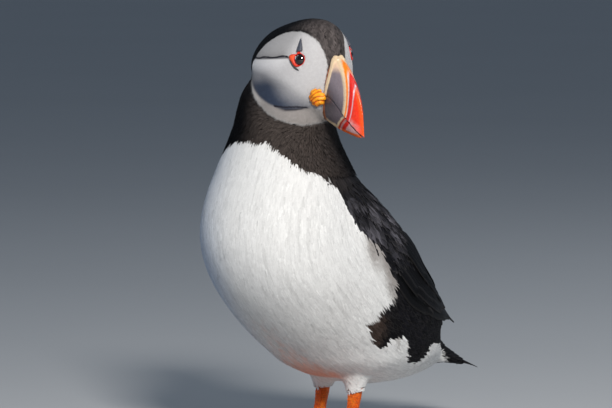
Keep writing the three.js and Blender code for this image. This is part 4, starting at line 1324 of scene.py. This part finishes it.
def quillMesh(name, feathers, thick, tints):
    # closed vanes along given lines: each feather is (points, ups, half widths) from root to tip
    columns = np.array([-1, -0.66, -0.3, -0.06, 0.06, 0.3, 0.66, 1])
    tops, faces, colors, vanes, base = [], [], [], [], 0
    wide = len(columns)
    wall = thick * (0.35 + 0.65 * np.exp(-(columns / 0.28) ** 2)) / 2
    for (points, ups, halves), tint in zip(feathers, tints):
        deep = len(points)
        way = unit(np.gradient(points, axis=0))
        ups = unit(ups - way * (ups * way).sum(1, keepdims=True))
        across = np.cross(ups, way)
        ragged = 1 + 0.05 * rng.normal(size=(deep, 2)) * (np.arange(deep)[:, None] > deep * 0.5)
        for side in (1, -1):
            for k in range(deep):
                reach = columns * halves[k] * np.where(columns < 0, ragged[k, 0] * 0.8, ragged[k, 1])
                sag = 0.10 * columns ** 2 * halves[k]
                tops.append(points[k] + across[k] * reach[:, None] + ups[k] * (side * wall - sag)[:, None])
                colors.append(np.repeat(tint[None], wide, 0))
                vanes.append(np.stack([(columns + 1) / 2, np.full(wide, k / (deep - 1))], -1))
        over, under = np.arange(2 * deep * wide).reshape(2, deep, wide) + base
        faces += [gridQuads(over), gridQuads(under)[:, ::-1]]
        for a, b in ((over[:, -1], under[:, -1]), (under[:, 0], over[:, 0])):
            faces.append(np.stack([a[:-1], a[1:], b[1:], b[:-1]], -1))
        for a, b in ((under[-1], over[-1]), (over[0], under[0])):
            faces.append(np.stack([a[:-1], a[1:], b[1:], b[:-1]], -1)[:, ::-1])
        base += 2 * deep * wide
    points, faces, vanes = np.concatenate(tops), np.concatenate(faces), np.concatenate(vanes)
    obj = quadObject(name, points, faces)
    paint(obj, "tint", np.concatenate(colors))
    paint(obj, "edge", np.full(len(points), 0.04))
    number = np.repeat(np.arange(len(feathers)), [2 * len(f[0]) * wide for f in feathers])
    grid = math.ceil(math.sqrt(len(feathers)))
    cell = np.stack([number % grid, number // grid], -1)
    addMaps(obj, faces, vanes, (cell + 0.5 + (vanes - 0.5) * 0.9) / grid)
    return obj


def wingFeathers(side):
    tree = treeOf(["wing_left" if side > 0 else "wing_right"])
    run = np.array(wingPlan["run"], float)
    stops = np.linspace(0, 1, len(run))
    stations = np.linspace(0, 1, wingPlan["stations"])

    def spot(t, c):
        # the wing's surface t of the way along it and c across it, -1 to 1
        x, y, z, chord = (np.interp(t, stops, run[:, k]) for k in range(4))
        later, sooner = (np.array([np.interp(t + d, stops, run[:, k]) for k in range(3)]) for d in (0.03, -0.03))
        along = unit(later - sooner)
        out = np.array([1, 0.16, 0.22 + 0.55 * t])
        down = unit(np.cross(along, out))
        outward = np.cross(down, along)
        bend = wingPlan["bend"] - (chord * c) ** 2 / wingPlan["bendAcross"]
        far = np.array([x, y, z]) + down * chord * c + outward * bend
        far[0] *= side
        near, normal, _, _ = tree.find_nearest(far)
        return np.array(near), np.array(normal)

    def line(start, end, height, bow):
        points, ups = [], []
        for u in stations:
            t = start[0] + (end[0] - start[0]) * u
            c = start[1] + (end[1] - start[1]) * u + bow * math.sin(math.pi * u)
            near, normal = spot(t, c)
            free = min(1, 2.5 * u)  # the root is sunk in the wing
            points.append(near + normal * (height * free - wingPlan["rootSunk"] * (1 - free)))
            ups.append(normal)
        return np.array(points), np.array(ups)

    taper = (0.55 + 0.45 * np.minimum(1, stations * 3)) * (1 - 0.5 * stations ** 3.0)
    taper = taper * np.where(stations > 0.985, 0.55, 1)
    feathers = []
    for group in wingPlan["groups"]:
        for k in range(group["count"]):
            start, end = ([first + change * k for first, change in group[key]] for key in ("root", "tip"))
            height = group["height"][0] + group["height"][1] * k
            points, ups = line(start, end, height, group["bow"])
            feathers.append((points, ups, group["half"] * taper))
    return feathers


def tailFeathers():
    run = np.array(tailPlan["run"], float)
    root, tip = run[0, 0], run[-1, 0]
    feathers, count = [], tailPlan["feathers"]
    u = np.linspace(0, 1, tailPlan["stations"])
    half = tailPlan["half"] * (0.6 + 0.4 * np.minimum(1, 3 * u)) * (1 - 0.4 * u ** 6) * np.where(u > 0.985, 0.6, 1)
    for k in range(count):
        f = 2 * k / (count - 1) - 1
        y = root + (tip - tailPlan["sooner"] * abs(f) - root) * u
        z = np.interp(y, run[:, 0], run[:, 1]) - tailPlan["lower"] * f * f * u - tailPlan["step"] * abs(f) * count / 2
        x = f * mix(tailPlan["rootSpread"], tailPlan["tipSpread"], u)
        feathers.append((np.stack([x, y, z], -1), np.tile([0.25 * f, 0.25, 1.0], (len(u), 1)), half))
    feathers.sort(key=lambda item: -abs(item[0][-1][0]))
    return feathers


def flightPiece(name, feathers, thick):
    tints = np.array(tones["black"]) * (1 + 0.25 * rng.normal(size=(len(feathers), 1))).clip(0.3, 2)
    settle(quillMesh(name, feathers, thick, tints), [], plumageFlight)


plumageFlight = plumage("plumageFlight", 150, 0.0, 0.5, 0.07)
flightPiece("wingFeathersLeft", wingFeathers(1), wingPlan["thick"])
flightPiece("wingFeathersRight", wingFeathers(-1), wingPlan["thick"])
flightPiece("tailFeathers", tailFeathers(), tailPlan["thick"])
print("flight feathers grown")

legPlan = {
    "hubs": {"left": [14, -8.4], "right": [-14, -1.2]}, "splay": 13, "skinTop": [22.5, 24.5], "scalyBelow": 23,
    "toes": [[27, -27, 4.6], [35, -1, 5.0], [34, 24, 4.6]],  # length, degrees, thickness
    "front": [[4, -3.4], [7, -2.4], [10, -0.3], [15, 0.9], [20, 1.4]],  # z, y of the shank's front
    # scutes: size, and how far apart, on the shank's front, on its sides and along the toes
    "shankScutes": {"from": 20.5, "to": 5, "step": 1.75, "size": 1.9, "sideSize": 1.3},
    "toeScutes": {"from": 5.0, "step": 1.55, "size": 1.75, "taper": 0.5},
    "scute": {
        "rows": [[0, 0.85, 0.55], [0.4, 1.0, 1.0], [0.85, 0.95, 0.95], [1.0, 0.7, 0.2]], "length": 2.15, "lift": 0.22,
        "columns": [-1, -0.5, 0, 0.5, 1], "tips": [-0.1, 0, 0.03, 0, -0.1], "camber": 0.10, "sunk": -0.15,
    },
}
legTones = {"orange": [1.0, 0.19, 0.002], "red": [0.62, 0.022, 0.002], "web": [0.95, 0.16, 0.012],
            "claw": [0.016, 0.012, 0.011], "clawRoot": [0.11, 0.06, 0.04]}


def skinFinish():
    material, shader, tint, place = painted("skinDown", Roughness=0.85, Sheen_Weight=0.1)
    down = noise(place, 800.0, 3.0)
    feed(shader, "Base Color", tint.blend((0.0, 0.0, 0.0), down.between(0.3, 0.8) * 0.35))
    feedBump(shader, down, 0.6, 0.0004)
    return material


def legFinish():
    # scaly skin: small plates with darker seams
    material, shader, tint, place = painted("legScaly", Roughness=0.45, Specular_IOR_Level=0.3,
                                            Coat_Weight=0.06, Coat_Roughness=0.3)
    seams = place.node("ShaderNodeTexVoronoi", {"feature": "DISTANCE_TO_EDGE"}, {"Vector": place, "Scale": 1150.0})
    mottle = noise(place, 260.0, 3.0)
    plates = seams.between(0.02, 0.16)
    color = tint.blend((0.16, 0.008, 0.0), (1 - plates) * 0.55)
    feed(shader, "Base Color", color.blend((1.0, 0.40, 0.04), mottle.between(0.45, 0.8) * 0.35))
    feedBump(shader, plates, 0.7, 0.0002)
    return material


def legTint(bird):
    web = fade(bird[:, 2], 2.0, 3.4) * fade(bird[:, 1], -20, -12)
    red = 0.35 + 0.3 * rough(bird, 9, 43)
    return np.clip(layered(arrays(legTones), "orange", ("red", red), ("web", 0.7 * web)), 0, 1)


def dressSkin():
    legs = fade(skinPoints[:, 2], *legPlan["skinTop"])
    paint(skin, "tint", mixRows(markings(skinPoints), legTint(skinPoints), legs))
    skin.data.materials.append(skinFinish())
    skin.data.materials.append(legFinish())
    middles = np.empty(len(skin.data.polygons) * 3)
    skin.data.polygons.foreach_get("center", middles)
    scaly = toBird(middles.reshape(-1, 3))[:, 2] < legPlan["scalyBelow"]
    skin.data.polygons.foreach_set("material_index", scaly.astype(np.int32))
    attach(skin, "root")
    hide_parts("trunk", "neck", "head", "tail", "wing_left", "wing_right", "thigh_left", "thigh_right",
                "shank_left", "shank_right", "foot_left", "foot_right")


def legScales():
    roots, ways, sizes = [], [], []
    onShank, onToe, scute = legPlan["shankScutes"], legPlan["toeScutes"], legPlan["scute"]
    for word, (hubX, hubY) in legPlan["hubs"].items():
        side = 1 if word == "left" else -1
        for z in np.arange(onShank["from"], onShank["to"], -onShank["step"]):
            front = through(legPlan["front"], z)
            roots.append([hubX, hubY + front, z])
            sizes.append(onShank["size"])
            for turn in (-1, 1):
                roots.append([hubX + turn * 2.3, hubY + front + 1.7, z + 0.8])
                sizes.append(onShank["sideSize"])
            ways += [[0, -0.1, -1]] * 3
        for length, angle, thick in legPlan["toes"]:
            turn = math.radians(legPlan["splay"] + angle) * side
            ahead = np.array([math.sin(turn), -math.cos(turn), 0])
            for reach in np.arange(onToe["from"], length - 0.6, onToe["step"]):
                roots.append(np.array([hubX, hubY, thick]) + ahead * reach)
                ways.append(ahead)
                sizes.append(onToe["size"] - onToe["taper"] * reach / length)
    roots, ways, sizes = np.array(roots, float), unit(np.array(ways, float)), np.array(sizes)
    spots, normals = nearest(roots)
    count = len(spots)
    tints = legTint(spots) * rng.uniform(0.85, 1.1, (count, 1))
    return growFeathers("legScales", spots, normals, ways, scute, np.full(count, scute["length"]), sizes,
                        np.full(count, scute["lift"]), np.clip(tints, 0, 1))


def claws(word):
    piece = detailCopy(["claw_inner_" + word, "claw_middle_" + word, "claw_outer_" + word],
                       "claws" + word.title(), 0.2, 2, 0.05)
    reach = np.hypot(*(toBird(pointsOf(piece))[:, :2] - np.array(legPlan["hubs"][word])).T)
    root = fade(np.abs(reach - 35.5), 1.2, 2.4)
    paint(piece, "tint", layered(arrays(legTones), "claw", ("clawRoot", root * 0.4)))
    return piece


dressSkin()
legScaly = skin.data.materials[1]
settle(legScales(), [], legScaly)
clawHorn = hornFinish("clawHorn", 0.3, 0.3, 900.0, 0.0001)
for word in ("left", "right"):
    settle(claws(word), ["claw_%s_%s" % (toe, word) for toe in ("inner", "middle", "outer")], clawHorn)
print("legs dressed")
